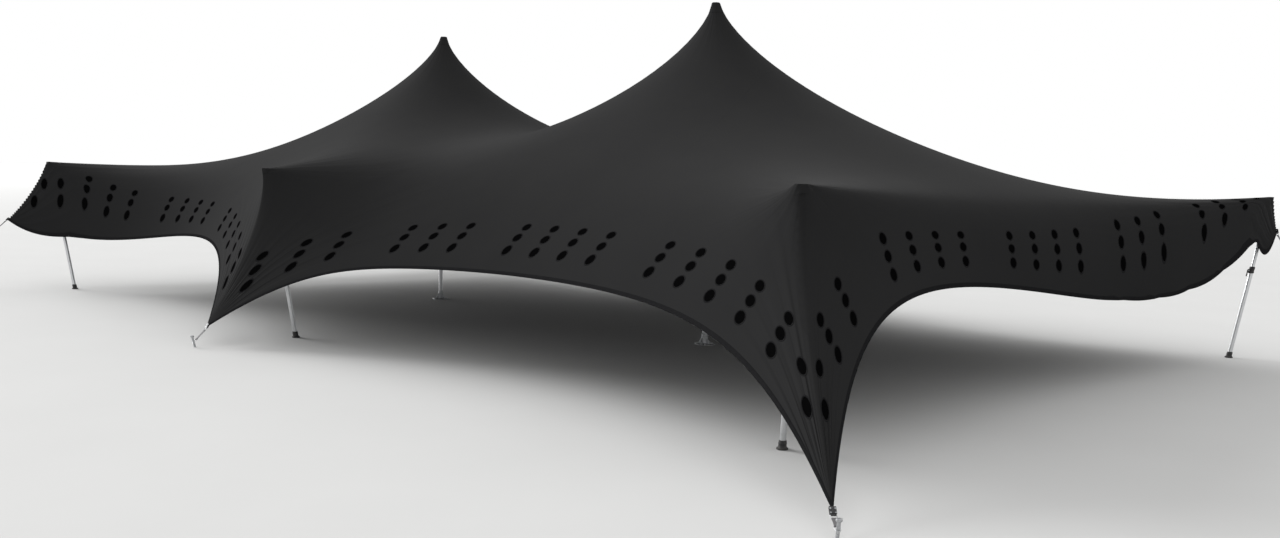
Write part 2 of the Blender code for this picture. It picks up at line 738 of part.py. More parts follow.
def pole_profile(radius, head, top):
    """A side pole: rubber foot, tube and a small flat head."""
    foot, foot_high, collar = 0.055, 0.018, 0.030
    return [
        (0, 0), (foot, 0), (foot, foot_high), (radius + 0.008, collar), (radius, collar + 0.03),
        (radius, top - 0.030), (head, top - 0.014), (head, top), (0, top),
    ]


def mast_profile(radius, head, top):
    """A mast: base plate, socket, lower tube, thinner upper tube and head."""
    plate, plate_high, socket_high, sleeve = 0.150, 0.012, 0.160, 2.60
    upper = radius - 0.006
    return [
        (0, 0), (plate, 0), (plate, plate_high), (radius + 0.010, plate_high + 0.004),
        (radius + 0.010, socket_high), (radius, socket_high + 0.004), (radius, sleeve),
        (upper, sleeve + 0.006), (upper, top - 0.030), (head, top - 0.014), (head, top), (0, top),
    ]


def build_poles(surface):
    under = FABRIC / 2 + SEAM_GAP
    for name, anchor in ANCHORS.items():
        profile = pole_profile(POLE_RADIUS, POLE_HEAD, POLE_HEIGHT - under)
        foot_in = [-POLE_FOOT_IN * out for out in anchor["outward"]]
        turned(f"pole_{name}", profile, anchor["pole"], surface, foot_in)
    for name, mast in MASTS.items():
        profile = mast_profile(MAST_RADIUS, MAST_HEAD, MAST_HEIGHT - under)
        turned(f"mast_{name}", profile, mast["place"], surface)


def lofted_bar(name, start, end, across, sections, surface):
    """A flat bar from start to end; a section is (distance, width, thickness)."""
    start, end, across = Vector(start), Vector(end), Vector(across)
    along = (end - start).normalized()
    across = (across - along * across.dot(along)).normalized()
    through = along.cross(across)
    bm = bmesh.new()
    loops = []
    for distance, width, thick in sections:
        middle = start + along * distance
        corners = ((1, 1), (-1, 1), (-1, -1), (1, -1))
        loop = [bm.verts.new(middle + across * (a * width / 2) + through * (b * thick / 2))
                for a, b in corners]
        loops.append(loop)
    for low, high in zip(loops[:-1], loops[1:]):
        for k in range(4):
            bm.faces.new((low[k], low[(k + 1) % 4], high[(k + 1) % 4], high[k]))
    bm.faces.new(loops[0])
    bm.faces.new(loops[-1])
    bmesh.ops.recalc_face_normals(bm, faces=bm.faces)
    return add_object(name, bm, surface)


def stake_sections():
    """(height, radius) of a stake's rings, from the ground up: shaft and struck head."""
    head = 0.022
    return ((0, STAKE_RADIUS), (STAKE_STICKOUT - head, STAKE_RADIUS),
            (STAKE_STICKOUT - head, 1.7 * STAKE_RADIUS), (STAKE_STICKOUT, 1.7 * STAKE_RADIUS))


def build_stake(name, foot, outward, surface, segments=12):
    """A steel stake that leans away from the tent, cut off at the ground."""
    lean = math.tan(math.radians(STAKE_LEAN))
    bm = bmesh.new()
    loops = []
    for height, radius in stake_sections():
        middle = Vector((foot[0] + outward[0] * lean * height,
                         foot[1] + outward[1] * lean * height, height))
        first = math.atan2(outward[1], outward[0])
        turns = [first + 2 * math.pi * k / segments for k in range(segments)]
        loops.append([bm.verts.new(middle + Vector((radius * math.cos(a), radius * math.sin(a), 0)))
                      for a in turns])
    for low, high in zip(loops[:-1], loops[1:]):
        for k in range(segments):
            bm.faces.new((low[k], low[(k + 1) % segments], high[(k + 1) % segments], high[k]))
    bm.faces.new(loops[0])
    bm.faces.new(loops[-1])
    bmesh.ops.recalc_face_normals(bm, faces=bm.faces)
    return add_object(name, bm, surface, 40)


def strap_sections(length, end_width):
    """Clamp at the fabric's tip, webbing, and on a long strap a ratchet, to the stake."""
    clamp, clamp_wide, clamp_thick, nose, flare = 0.070, TIP_WIDTH + 0.012, 0.012, 0.012, 0.026
    sections = [(0, end_width, FABRIC), (nose, end_width, FABRIC)]
    sections += [(flare, clamp_wide, clamp_thick), (clamp, clamp_wide, clamp_thick)]
    sections += [(clamp, STRAP_WIDTH, STRAP_THICK)]
    if length > 0.8:
        at, long, wide, thick = 0.62 * length, 0.17, STRAP_WIDTH + 0.016, 0.040
        sections += [(at, STRAP_WIDTH, STRAP_THICK), (at, wide, thick),
                     (at + long, wide, thick), (at + long, STRAP_WIDTH, STRAP_THICK)]
    return sections + [(length, STRAP_WIDTH, STRAP_THICK)]


def strap_line(anchor, places, normals, foot, out):
    """Start, end and width direction of a strap from a fabric tip to its stake."""
    knot = anchor["tip_knot"]
    left, right = (tip_point(places, knot, side) for side in tip_sides(knot)[:2])
    start, held_at = (left + right) / 2, 0.07
    lean = math.tan(math.radians(STAKE_LEAN))
    end = foot + out * (lean * held_at - STAKE_RADIUS) + (0, 0, held_at)
    along = unit(end - start)
    # Back off until the strap's end only just clears the leaning stake
    away, rise = float(along @ out), float(along[2])
    overlap = STRAP_THICK / 2 * abs(rise + lean * away) + SEAM_GAP * math.hypot(1, lean)
    end = end - along * overlap / (away - lean * rise)
    half = normals[knot] * FABRIC / 2
    reach = max(float((p + h - start) @ along) for p in (left, right) for h in (half, -half))
    across = (right - left) - along * float((right - left) @ along)
    return start + along * (reach + SEAM_GAP), end, across * NOSE_SHARE


def build_anchors(places, normals, strap_surface, stake_surface):
    for name, anchor in ANCHORS.items():
        reach = HIGH_STRAP_OUT if anchor["tip"][2] > 1 else LOW_STRAP_OUT
        out = np.array([*anchor["outward"], 0.0])
        foot = np.array([*anchor["tip"][:2], 0.0]) + out * reach
        build_stake(f"stake_{name}", foot, anchor["outward"], stake_surface)
        start, end, across = strap_line(anchor, places, normals, foot, out)
        length, end_width = np.linalg.norm(end - start), np.linalg.norm(across)
        sections = strap_sections(float(length), float(end_width))
        lofted_bar(f"strap_{name}", start, end, across, sections, strap_surface)


def main():
    clear_scene()
    fabric = material("stretch_fabric", (0.030, 0.030, 0.032), 0.75, 0.0)
    aluminium = material("pole_aluminium", (0.62, 0.63, 0.64), 0.35, 1.0)
    webbing = material("strap_webbing", (0.45, 0.45, 0.44), 0.80, 0.0)
    steel = material("galvanised_steel", (0.50, 0.51, 0.52), 0.45, 1.0)
    places, creases = balanced_net(), crease_knots()
    normals = net_normals(places, creases)
    build_canopy(places, normals, creases, fabric)
    build_poles(aluminium)
    build_anchors(places, normals, webbing, steel)


main()
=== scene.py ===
# Stretch tent: dark stretch fabric over two masts and six side poles, strapped to stakes
import math

import bpy
import numpy as np
from mathutils import Matrix, Vector


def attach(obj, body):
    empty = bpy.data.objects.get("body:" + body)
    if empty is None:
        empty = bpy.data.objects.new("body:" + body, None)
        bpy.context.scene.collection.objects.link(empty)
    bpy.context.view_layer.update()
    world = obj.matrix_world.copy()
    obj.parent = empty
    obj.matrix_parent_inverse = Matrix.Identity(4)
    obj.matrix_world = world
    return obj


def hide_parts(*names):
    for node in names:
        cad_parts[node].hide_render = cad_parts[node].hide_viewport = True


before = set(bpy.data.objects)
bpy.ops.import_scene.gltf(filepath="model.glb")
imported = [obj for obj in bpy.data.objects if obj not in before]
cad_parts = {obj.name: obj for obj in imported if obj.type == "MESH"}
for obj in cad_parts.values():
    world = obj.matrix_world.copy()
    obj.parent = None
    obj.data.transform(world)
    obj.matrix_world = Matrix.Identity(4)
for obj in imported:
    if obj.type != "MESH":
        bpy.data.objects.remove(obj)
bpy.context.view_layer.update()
print("frame loaded:", len(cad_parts), "nodes")


# Camera: where the photo was taken from
cameraPlace = {
    "position": (13.155, -11.915, 2.404),
    "looksAlong": (-0.690, 0.724),      # in plan
    "yaw": -0.031,                      # degrees, further turn to the left
    "pitchDown": 4.915,
    "roll": 1.649,                      # the horizon is lower on the right
    "lens": 29.54, "sensor": 36, "seesTo": 2000,
}


def placeCamera():
    s = cameraPlace
    yaw = math.atan2(s["looksAlong"][1], s["looksAlong"][0]) + math.radians(s["yaw"])
    pitch, roll = math.radians(s["pitchDown"]), math.radians(s["roll"])
    ahead = Vector((math.cos(yaw), math.sin(yaw), 0))
    right = Vector((ahead.y, -ahead.x, 0))
    forward = ahead * math.cos(pitch) - Vector((0, 0, math.sin(pitch)))
    up = right.cross(forward)
    camRight = right * math.cos(roll) + up * math.sin(roll)
    camUp = up * math.cos(roll) - right * math.sin(roll)
    bpy.ops.object.camera_add(location=s["position"])
    cam = bpy.context.object
    cam.rotation_euler = Matrix((camRight, camUp, -forward)).transposed().to_euler()
    cam.data.lens, cam.data.sensor_width, cam.data.clip_end = s["lens"], s["sensor"], s["seesTo"]
    bpy.context.scene.camera = cam


class Value:
    # The output of a shader node, which adds and multiplies as a number does
    def __init__(self, socket):
        self.socket = socket
        self.tree = socket.id_data

    def math(self, operation, other=0.0):
        return newValue(self.tree, "Math", operation=operation, i0=self, i1=other)

    def clamped(self):
        return newValue(self.tree, "Clamp", Value=self)

    def __add__(self, other):
        return self.math("ADD", other)

    def __sub__(self, other):
        return self.math("SUBTRACT", other)

    def __rsub__(self, other):
        return self * -1.0 + other

    def __mul__(self, other):
        return self.math("MULTIPLY", other)

    def __truediv__(self, other):
        return self.math("DIVIDE", other)


def feed(socket, value):
    # A node's output is linked to the socket, and a number or a colour is set on it
    if isinstance(value, Value):
        socket.id_data.links.new(value.socket, socket)
    else:
        socket.default_value = (*value, 1) if socket.type == "RGBA" else value


def addNode(tree, kind, **inputs):
    node = tree.nodes.new("ShaderNode" + kind)
    for key, value in inputs.items():
        if hasattr(node, key):
            setattr(node, key, value)
        else:
            feed(node.inputs[int(key[1:]) if key[1:].isdigit() else key], value)
    return node


def newValue(tree, kind, output=0, **inputs):
    return Value(addNode(tree, kind, **inputs).outputs[output])


def partsOf(vector):
    return [Value(part) for part in addNode(vector.tree, "SeparateXYZ", Vector=vector).outputs]


def mixed(amount, a, b):
    return newValue(amount.tree, "Mix", 2, data_type="RGBA", i0=amount, i6=a, i7=b)


def noise(place, scale, detail=3.0, rough=0.5):
    return newValue(place.tree, "TexNoise", Vector=place, Scale=scale, Detail=detail, Roughness=rough)


def ramp(value, low, high, top=1.0):
    # Black up to the low value, rising to a grey at the high one
    node = addNode(value.tree, "ValToRGB", Fac=value)
    for element, at, grey in zip(node.color_ramp.elements, (low, high), (0.0, top)):
        element.position = at
        element.color = (grey, grey, grey, 1)
    return Value(node.outputs[0])


def ridges(value, places, width):
    # 1 on each line where the value equals a place, falling to 0 at half the width
    found = [(1.0 - (value - at).math("ABSOLUTE") / (width / 2)).clamped() for at in places]
    for other in found[1:]:
        found[0] = found[0].math("MAXIMUM", other)
    return found[0]


def bump(height, depth, strength=1.0, under=None):
    more = {"Normal": under} if under else {}
    return newValue(height.tree, "Bump", Strength=strength, Distance=depth, Height=height, **more)


def newMaterial(name):
    # The material, and the place in the object's space
    mat = bpy.data.materials.new(name)
    mat.use_nodes = True
    return mat, newValue(mat.node_tree, "TexCoord", "Object")


def onCut(mat, uvMap):
    # The place on the piece's own cut, in metres
    return newValue(mat.node_tree, "UVMap", uv_map=uvMap)


def setShader(mat, settings):
    for name, value in settings.items():
        feed(mat.node_tree.nodes["Principled BSDF"].inputs[name], value)
    return mat


# Light: a broad soft key from the left, and a white room all round
studioLight = {
    "keyStrength": 3.7, "keyAngle": 40.0, "keyFrom": (-0.93, -0.22, 0.36),
    "roomColour": (1.0, 1.0, 1.0), "roomStrength": 1.0,
    "floorSize": 1600.0, "floorColour": (0.56, 0.56, 0.555), "floorSpeck": (0.53, 0.53, 0.525),
    "speck": (0.6, 5), "roughness": 0.95, "specular": 0.1,
    "floorFar": (0.68, 0.68, 0.675), "farFrom": 25.0, "farOver": 90.0,     # paler towards the horizon
}


def placeStage():
    s = studioLight
    scene = bpy.context.scene
    scene.view_settings.view_transform = "Standard"
    bpy.ops.object.light_add(type="SUN")
    sun = bpy.context.object
    sun.name = "keyLight"
    sun.data.energy, sun.data.angle = s["keyStrength"], math.radians(s["keyAngle"])
    sun.rotation_euler = Vector(s["keyFrom"]).to_track_quat("Z", "Y").to_euler()
    scene.world = bpy.data.worlds.new("studio")
    scene.world.use_nodes = True
    room = scene.world.node_tree.nodes["Background"]
    feed(room.inputs["Color"], s["roomColour"])
    feed(room.inputs["Strength"], s["roomStrength"])
    bpy.ops.mesh.primitive_plane_add(size=s["floorSize"])
    floor = bpy.context.object
    floor.name = "floor"
    mat, place = newMaterial("paleFloor")
    away = newValue(place.tree, "VectorMath", "Value", operation="LENGTH", i0=place)
    tone = mixed(noise(place, *s["speck"]), s["floorColour"], s["floorSpeck"])
    tone = mixed(((away - s["farFrom"]) / s["farOver"]).clamped(), tone, s["floorFar"])
    setShader(mat, {"Base Color": tone, "Roughness": s["roughness"], "Specular IOR Level": s["specular"]})
    floor.data.materials.append(mat)


placeCamera()
placeStage()
print("camera and stage placed")


# Modelling helpers
def dress(obj, slotName=None, *nodes):
    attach(obj, "root")
    if nodes:
        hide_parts(*nodes)


def deselectAll():
    if bpy.context.object and bpy.context.object.mode != "OBJECT":
        bpy.ops.object.mode_set(mode="OBJECT")
    bpy.ops.object.select_all(action="DESELECT")


def makeActive(obj):
    deselectAll()
    obj.select_set(True)
    bpy.context.view_layer.objects.active = obj


def editAll(obj):
    makeActive(obj)
    bpy.ops.object.mode_set(mode="EDIT")
    bpy.ops.mesh.select_all(action="SELECT")


def cleanMesh(obj):
    # Doubled points go, and faces point out
    editAll(obj)
    bpy.ops.mesh.remove_doubles(threshold=1e-5)
    bpy.ops.mesh.normals_make_consistent(inside=False)
    bpy.ops.object.mode_set(mode="OBJECT")


def applyModifier(obj, kind, **settings):
    makeActive(obj)
    mod = obj.modifiers.new(kind.title(), kind)
    for key, value in settings.items():
        setattr(mod, key, value)
    bpy.ops.object.modifier_apply(modifier=mod.name)


def meshPiece(name, points, faces, uvName, uvs, mat=None):
    mesh = bpy.data.meshes.new(name)
    mesh.from_pydata([tuple(p) for p in points], [], faces)
    mesh.update()
    layer = mesh.uv_layers.new(name=uvName)
    order = np.zeros(len(mesh.loops), np.int64)
    mesh.loops.foreach_get("vertex_index", order)
    layer.data.foreach_set("uv", np.array(uvs)[order].ravel())
    mesh.shade_smooth()
    if mat:
        mesh.materials.append(mat)
    obj = bpy.data.objects.new(name, mesh)
    bpy.context.scene.collection.objects.link(obj)
    return obj


def skin(first, rings, sides, closed=False):
    # Faces between rings of points that follow one another, each ring closed on itself
    faces = []
    for k in range(rings if closed else rings - 1):
        here, after = first + k * sides, first + (k + 1) % rings * sides
        for q in range(sides):
            w = (q + 1) % sides
            faces.append((here + q, here + w, after + w, after + q))
    return faces


def roundPoints(u, v, radius, count):
    angles = [2 * math.pi * k / count for k in range(count)]
    return [(u + radius * math.cos(a), v + radius * math.sin(a)) for a in angles]


# The fabric's flat cut, its anchors, and the pulls that shape it; metres
canopyCut = {
    "band": (0.0, 0.15, 0.34, 0.53, 0.72),      # hem and three rows of vents
    "cell": 0.50, "longCells": 33, "shortCells": 20,
    "fineCuts": 6, "roofCuts": 4, "fineCells": 7,   # cells cut finely along each edge
    "middleCells": 18, "mastCells": 10,             # from the band to the middle tip and to a mast
    "thickness": 0.004, "seams": (1.75, 4.75),
    "ventRadius": 0.062, "ventBays": {"low": (5, 4, 3, 3), "high": (5, 4, 4), "end": (2, 4, 4, 3, 3)},
}
canopyAnchors = {
    "halfLength": 9.25, "halfWidth": 5.80, "middleX": -0.65, "poleHeight": 2.40,
    "masts": {"right": (3.28, -0.12, 4.95), "left": (-3.41, -0.04, 4.95)},
    # Side in X and in Y, cells from the tip to the pole head, the head's inset, the tip's height
    "tips": {"front_right": (1, -1, 6, 1.77, 0.135), "front_middle": (0, -1, 7, 0.84, 0.26),
             "front_left": (-1, -1, 4, 0.80, 1.29), "back_left": (-1, 1, 6, 1.77, 0.135),
             "back_middle": (0, 1, 7, 0.84, 0.26), "back_right": (1, 1, 2, 0.13, 1.89)},
    "cap": 0.055, "capDome": 0.05,
}
canopyPull = {
    "hemLow": 2.28, "hemHigh": 1.055, "hemEnd": 1.125, "edgeSlack": 0.751, "edgeWidth": 0.808,
    "legs": {"front_right": 1.0, "front_middle": 2.74, "front_left": 1.93,
             "back_left": 1.0, "back_middle": 2.74, "back_right": 2.0},
    # Between neighbouring pole heads, along X (0) or Y (1)
    "heads": (("front_right", "front_middle", 0, 1.51), ("back_left", "back_middle", 0, 1.51),
              ("front_middle", "front_left", 0, 2.63), ("back_middle", "back_right", 0, 2.63),
              ("front_right", "back_right", 1, 26.7), ("back_left", "front_left", 1, 26.7)),
    "headLines": 15, "headSpread": 1.0, "headNarrows": 0.5,
    "mast": 2.59, "mastFade": 0.789, "mastNear": 0.25, "valley": 2.75, "valleyWidth": 1.09,
    "lowBaySkew": -0.436, "lowBayBow": -0.314, "lowBayDepth": 1.2,
    "lowCorner": 0.80, "lowCornerWidth": 2.15,
    "sagLow": 0.343, "sagHigh": 0.193, "sagHighCorner": 2.0, "highCornerPower": 3.54,
    "sagEnd": 0.159, "sagRightEnd": (0.416, 9.7), "sagLeftEnd": (0.904, 2.05), "endCornerPower": 7.1,
    "mostTurns": 6000, "balancedTo": 1e-14,
}


def coarseLines(cells):
    s = canopyCut
    total = 2 * s["band"][-1] + cells * s["cell"]
    inner = [s["band"][-1] + s["cell"] * k for k in range(1, cells + 1)]
    far = [total - d for d in reversed(s["band"])][1:]
    return np.array([*s["band"], *inner, *far]) - total / 2


def cutLines(coarse):
    # Each cell in equal parts, more of them near the two ends; also where each coarse line went
    s = canopyCut
    fine, index, cells = [coarse[0]], [0], len(coarse) - 1
    for k in range(cells):
        cuts = s["roofCuts"] if s["fineCells"] <= k < cells - s["fineCells"] else s["fineCuts"]
        fine += [coarse[k] + (coarse[k + 1] - coarse[k]) * c / cuts for c in range(1, cuts + 1)]
        index.append(len(fine) - 1)
    return np.array(fine), index


coarseX, coarseY = coarseLines(canopyCut["longCells"]), coarseLines(canopyCut["shortCells"])
fineX, fineOfX = cutLines(coarseX)
fineY, fineOfY = cutLines(coarseY)
bandCells = len(canopyCut["band"]) - 1
lastX, lastY = len(coarseX) - 1, len(coarseY) - 1
middleX = lastX - bandCells - canopyCut["middleCells"]
halfX, halfY = float(coarseX[-1]), float(coarseY[-1])


def anchorPoint(sideX, sideY, cells, inset, tipHeight):
    # Knot and place of a fabric tip and its pole head; sideX is 0 in the middle of a long side
    s = canopyAnchors
    j, y = (lastY if sideY > 0 else 0), sideY * s["halfWidth"]
    if sideX:
        i, x = (lastX if sideX > 0 else 0), sideX * s["halfLength"]
    else:
        i, x = (middleX if sideY < 0 else lastX - middleX), -sideY * s["middleX"]
    out = (sideX / math.hypot(sideX, sideY), sideY / math.hypot(sideX, sideY))
    return {
        "tipKnot": (i, j), "tip": (x, y, tipHeight), "poleKnot": (i - sideX * cells, j - sideY * cells),
        "pole": (x - out[0] * inset, y - out[1] * inset, s["poleHeight"]), "out": out,
    }


anchors = {name: anchorPoint(*row) for name, row in canopyAnchors["tips"].items()}
mastKnots = {"right": lastX - bandCells - canopyCut["mastCells"], "left": bandCells + canopyCut["mastCells"]}
masts = {side: {"knot": (mastKnots[side], lastY // 2), "place": place}
         for side, place in canopyAnchors["masts"].items()}


def cutPlace(knot):
    return float(coarseX[knot[0]]), float(coarseY[knot[1]])


def lineWidths(lines):
    steps = np.diff(lines)
    return (np.pad(steps, (0, 1)) + np.pad(steps, (1, 0))) / 2


def mastFactor(x, y):
    s = canopyPull
    factor = np.ones_like(x)
    for mast in masts.values():
        away = np.maximum(np.hypot(x - coarseX[mast["knot"][0]], y), s["mastNear"])
        factor = factor + s["mast"] / away * np.exp(-away * s["mastFade"])
    return factor


def lowBayFactor(x, y):
    # The low bays are tighter towards the middle anchor than towards the low corner
    s = canopyPull
    split, factor = coarseX[middleX], np.ones_like(x)
    for side in (1, -1):
        along = (side * x - (halfX + split) / 2) / ((halfX - split) / 2)
        deep = np.exp(-((side * y + halfY) / s["lowBayDepth"]) ** 2)
        bent = (s["lowBaySkew"] * along + s["lowBayBow"] * (along ** 2 - 1 / 3)) * deep
        factor *= np.where(np.abs(along) <= 1, np.exp(bent), 1)
    return factor


def lowCornerFactor(x, y):
    s, factor = canopyPull, np.ones_like(x)
    for side in (1, -1):
        away = np.hypot(side * x - halfX, side * y + halfY)
        factor *= 1 + s["lowCorner"] * np.exp(-(away / s["lowCornerWidth"]) ** 2)
    return factor


def linePulls():
    s = canopyPull
    x, y = np.meshgrid(fineX, fineY, indexing="ij")
    stepsX, stepsY = np.diff(fineX), np.diff(fineY)
    xx, xy = (x[:-1] + x[1:]) / 2, (y[:-1] + y[1:]) / 2
    yx, yy = (x[:, :-1] + x[:, 1:]) / 2, (y[:, :-1] + y[:, 1:]) / 2

    def slack(across, half):
        return 1 - s["edgeSlack"] * np.exp(-(half - np.abs(across)) / s["edgeWidth"])

    alongX = lineWidths(fineY)[None, :] / stepsX[:, None] * mastFactor(xx, xy) * slack(xx, halfX)
    alongX *= lowBayFactor(xx, xy) * lowCornerFactor(xx, xy)
    alongY = lineWidths(fineX)[:, None] / stepsY[None, :] * mastFactor(yx, yy) * slack(yy, halfY)
    alongY *= (1 + s["valley"] * np.exp(-((yx / s["valleyWidth"]) ** 2))) * lowCornerFactor(yx, yy)
    front = np.where(xx[:, 0] > coarseX[middleX], s["hemLow"], s["hemHigh"])
    front = front * lowBayFactor(xx[:, 0], np.full_like(xx[:, 0], -halfY))
    alongX[:, 0] += front / stepsX
    alongX[:, -1] += front[::-1] / stepsX
    alongY[0] += s["hemEnd"] / stepsY
    alongY[-1] += s["hemEnd"] / stepsY
    return alongX, alongY


def fineKnot(knot):
    return fineOfX[knot[0]], fineOfY[knot[1]]


def tautLines():
    # Creases under tension: down each leg, and spread between neighbouring pole heads
    s = canopyPull
    for name, anchor in anchors.items():
        a, b = fineKnot(anchor["tipKnot"]), fineKnot(anchor["poleKnot"])
        count = max(abs(b[0] - a[0]), abs(b[1] - a[1]))
        yield [(round(a[0] + (b[0] - a[0]) * k / count), round(a[1] + (b[1] - a[1]) * k / count))
               for k in range(count + 1)], s["legs"][name]
    for start, end, axis, pull in s["heads"]:
        a, b = fineKnot(anchors[start]["poleKnot"]), fineKnot(anchors[end]["poleKnot"])
        along, across = (fineX, fineY) if axis == 0 else (fineY, fineX)
        direction = 1 if b[axis] > a[axis] else -1
        offsets = np.linspace(-1, 1, s["headLines"] + 2)[1:-1] * s["headSpread"]
        shares = 1 - np.abs(offsets) / s["headSpread"]
        for offset, share in zip(offsets, shares / shares.sum()):
            run = []
            for k in range(a[axis], b[axis] + direction, direction):
                toStart, toEnd = abs(along[k] - along[a[axis]]), abs(along[k] - along[b[axis]])
                part = toStart / (toStart + toEnd)
                middle = across[a[1 - axis]] * (1 - part) + across[b[1 - axis]] * part
                middle += offset * min(1, toStart / s["headNarrows"], toEnd / s["headNarrows"])
                other = int(np.abs(across - middle).argmin())
                run.append((k, other) if axis == 0 else (other, k))
            yield run, pull * share


def hemLoad():
    s = canopyPull
    load = np.zeros((len(fineX), len(fineY)))
    split = coarseX[middleX]
    low = np.clip((fineX - split) / (halfX - split), 0, 1)
    high = np.clip((split - fineX) / (halfX + split), 0, 1)
    front = s["sagLow"] * np.sin(np.pi * low) + s["sagHigh"] * np.sin(np.pi * high)
    front += s["sagHighCorner"] * np.where(high < 1, high ** s["highCornerPower"], 0)
    front *= lineWidths(fineX)
    load[:, 0] += front
    load[:, -1] += front[::-1]
    up = (fineY + halfY) / (2 * halfY)
    for i, shares, (skew, corner) in ((-1, up, s["sagRightEnd"]), (0, up[::-1], s["sagLeftEnd"])):
        end = (s["sagEnd"] + skew * shares) * np.sin(np.pi * shares)
        end += corner * np.where(shares < 1, shares ** s["endCornerPower"], 0)
        load[i] += lineWidths(fineY) * end
    return load


def heldKnots():
    # Fabric tips, and the small flat caps over the pole heads and masts
    s = canopyAnchors
    held = {fineKnot(anchor["tipKnot"]): Vector(anchor["tip"]) for anchor in anchors.values()}
    heads = [(fineKnot(a["poleKnot"]), a["pole"]) for a in anchors.values()]
    heads += [(fineKnot(m["knot"]), m["place"]) for m in masts.values()]
    for (i, j), place in heads:
        for a in (i - 1, i, i + 1):
            for b in (j - 1, j, j + 1):
                aside = Vector((fineX[a] - fineX[i], fineY[b] - fineY[j], 0))
                if aside.length > s["cap"]:
                    aside.length = s["cap"]
                aside.z = -s["capDome"] * aside.length_squared / s["cap"]
                held[a, b] = Vector(place) + aside
    return held


def solveCanopy():
    # Every knot goes where the pulls and the hem's weight balance, by conjugate gradients
    shape = (len(fineX), len(fineY))
    alongX, alongY = linePulls()
    links = {}
    for run, pull in tautLines():
        for a, b in zip(run[:-1], run[1:]):
            if a != b:
                length = math.hypot(fineX[a[0]] - fineX[b[0]], fineY[a[1]] - fineY[b[1]])
                key = (min(a, b), max(a, b))
                links[key] = links.get(key, 0) + pull / length
    ends = np.array([[a[0] * shape[1] + a[1], b[0] * shape[1] + b[1]] for a, b in links])
    linkPull = np.array(list(links.values()))[:, None]

    def pullOn(p):
        out = np.zeros_like(p)
        d = alongX[..., None] * (p[1:] - p[:-1])
        out[:-1] += d
        out[1:] -= d
        d = alongY[..., None] * (p[:, 1:] - p[:, :-1])
        out[:, :-1] += d
        out[:, 1:] -= d
        flat, flatOut = p.reshape(-1, 3), out.reshape(-1, 3)
        d = linkPull * (flat[ends[:, 1]] - flat[ends[:, 0]])
        np.add.at(flatOut, ends[:, 0], d)
        np.add.at(flatOut, ends[:, 1], -d)
        return out

    stiff = np.zeros(shape)
    stiff[:-1] += alongX
    stiff[1:] += alongX
    stiff[:, :-1] += alongY
    stiff[:, 1:] += alongY
    for side in (0, 1):
        np.add.at(stiff.reshape(-1), ends[:, side], linkPull[:, 0])
    free = np.ones(shape)[..., None]
    places = np.zeros((*shape, 3))
    places[..., 0] = fineX[:, None] * canopyAnchors["halfLength"] / halfX
    places[..., 1] = fineY[None, :] * canopyAnchors["halfWidth"] / halfY
    places[..., 2] = canopyAnchors["poleHeight"]
    for knot, place in heldKnots().items():
        places[knot] = place
        free[knot] = 0
    load = np.zeros((*shape, 3))
    load[..., 2] = -hemLoad()
    rest = (pullOn(places) + load) * free
    smooth = rest / stiff[..., None]
    step = smooth.copy()
    size = (rest * smooth).sum((0, 1))
    first = size.copy()
    for turn in range(canopyPull["mostTurns"]):
        pulled = -pullOn(step) * free
        amount = size / np.maximum((step * pulled).sum((0, 1)), 1e-30)
        places += amount * step
        rest -= amount * pulled
        smooth = rest / stiff[..., None]
        after = (rest * smooth).sum((0, 1))
        if (after < first * canopyPull["balancedTo"]).all():
            break
        step = smooth + after / np.maximum(size, 1e-30) * step
        size = after
    print("canopy net balanced after", turn, "steps")
    return places


def netNormals(places):
    normals = np.cross(np.gradient(places, axis=0), np.gradient(places, axis=1))
    return normals / np.maximum(np.linalg.norm(normals, axis=-1), 1e-12)[..., None]


# Folds that the pull draws out from each tip of the fabric; reach in metres for each tip
tipFolds = {
    "folds": 18, "fineFolds": 30, "fineShare": 0.45, "depth": 0.0040, "opens": 0.45,
    "hemShare": 0.3, "hemHolds": 0.25,
    "reach": {"front_right": 1.0, "front_middle": 0.85, "front_left": 0.42,
              "back_left": 1.0, "back_middle": 0.85, "back_right": 0.20},
}


def drawFolds(places):
    s = tipFolds
    x, y = np.meshgrid(fineX, fineY, indexing="ij")
    height = np.zeros_like(x)
    for name, anchor in anchors.items():
        u, v = cutPlace(anchor["tipKnot"])
        away, angle = np.hypot(x - u, y - v), np.arctan2(y - v, x - u)
        wave = np.sin(s["folds"] * angle) + s["fineShare"] * np.sin(s["fineFolds"] * angle)
        wave *= np.clip(away / s["opens"], 0, 1) ** 1.5
        height += s["depth"] * wave * np.exp(-(away / s["reach"][name]) ** 2)
    edge = np.minimum(halfX - np.abs(x), halfY - np.abs(y))
    height *= np.clip(s["hemShare"] + edge / s["hemHolds"], 0, 1)
    return places + netNormals(places) * height[..., None]


canopyNet = drawFolds(solveCanopy())
canopyNormals = netNormals(canopyNet)


def readNet(table, u, v):
    # The value of a table of knots at any point of the flat cut
    i = min(max(int(np.searchsorted(fineX, u)) - 1, 0), len(fineX) - 2)
    j = min(max(int(np.searchsorted(fineY, v)) - 1, 0), len(fineY) - 2)
    s = (u - fineX[i]) / (fineX[i + 1] - fineX[i])
    t = (v - fineY[j]) / (fineY[j + 1] - fineY[j])
    return ((table[i, j] * (1 - s) + table[i + 1, j] * s) * (1 - t)
            + (table[i, j + 1] * (1 - s) + table[i + 1, j + 1] * s) * t)


def outwards(u, v):
    out = readNet(canopyNormals, u, v)
    return out / np.linalg.norm(out)


def onFabric(u, v, height=0.0):
    # A point of the sheet, or that far out from its middle surface
    u, v = min(max(u, -halfX), halfX), min(max(v, -halfY), halfY)
    return readNet(canopyNet, u, v) + outwards(u, v) * height


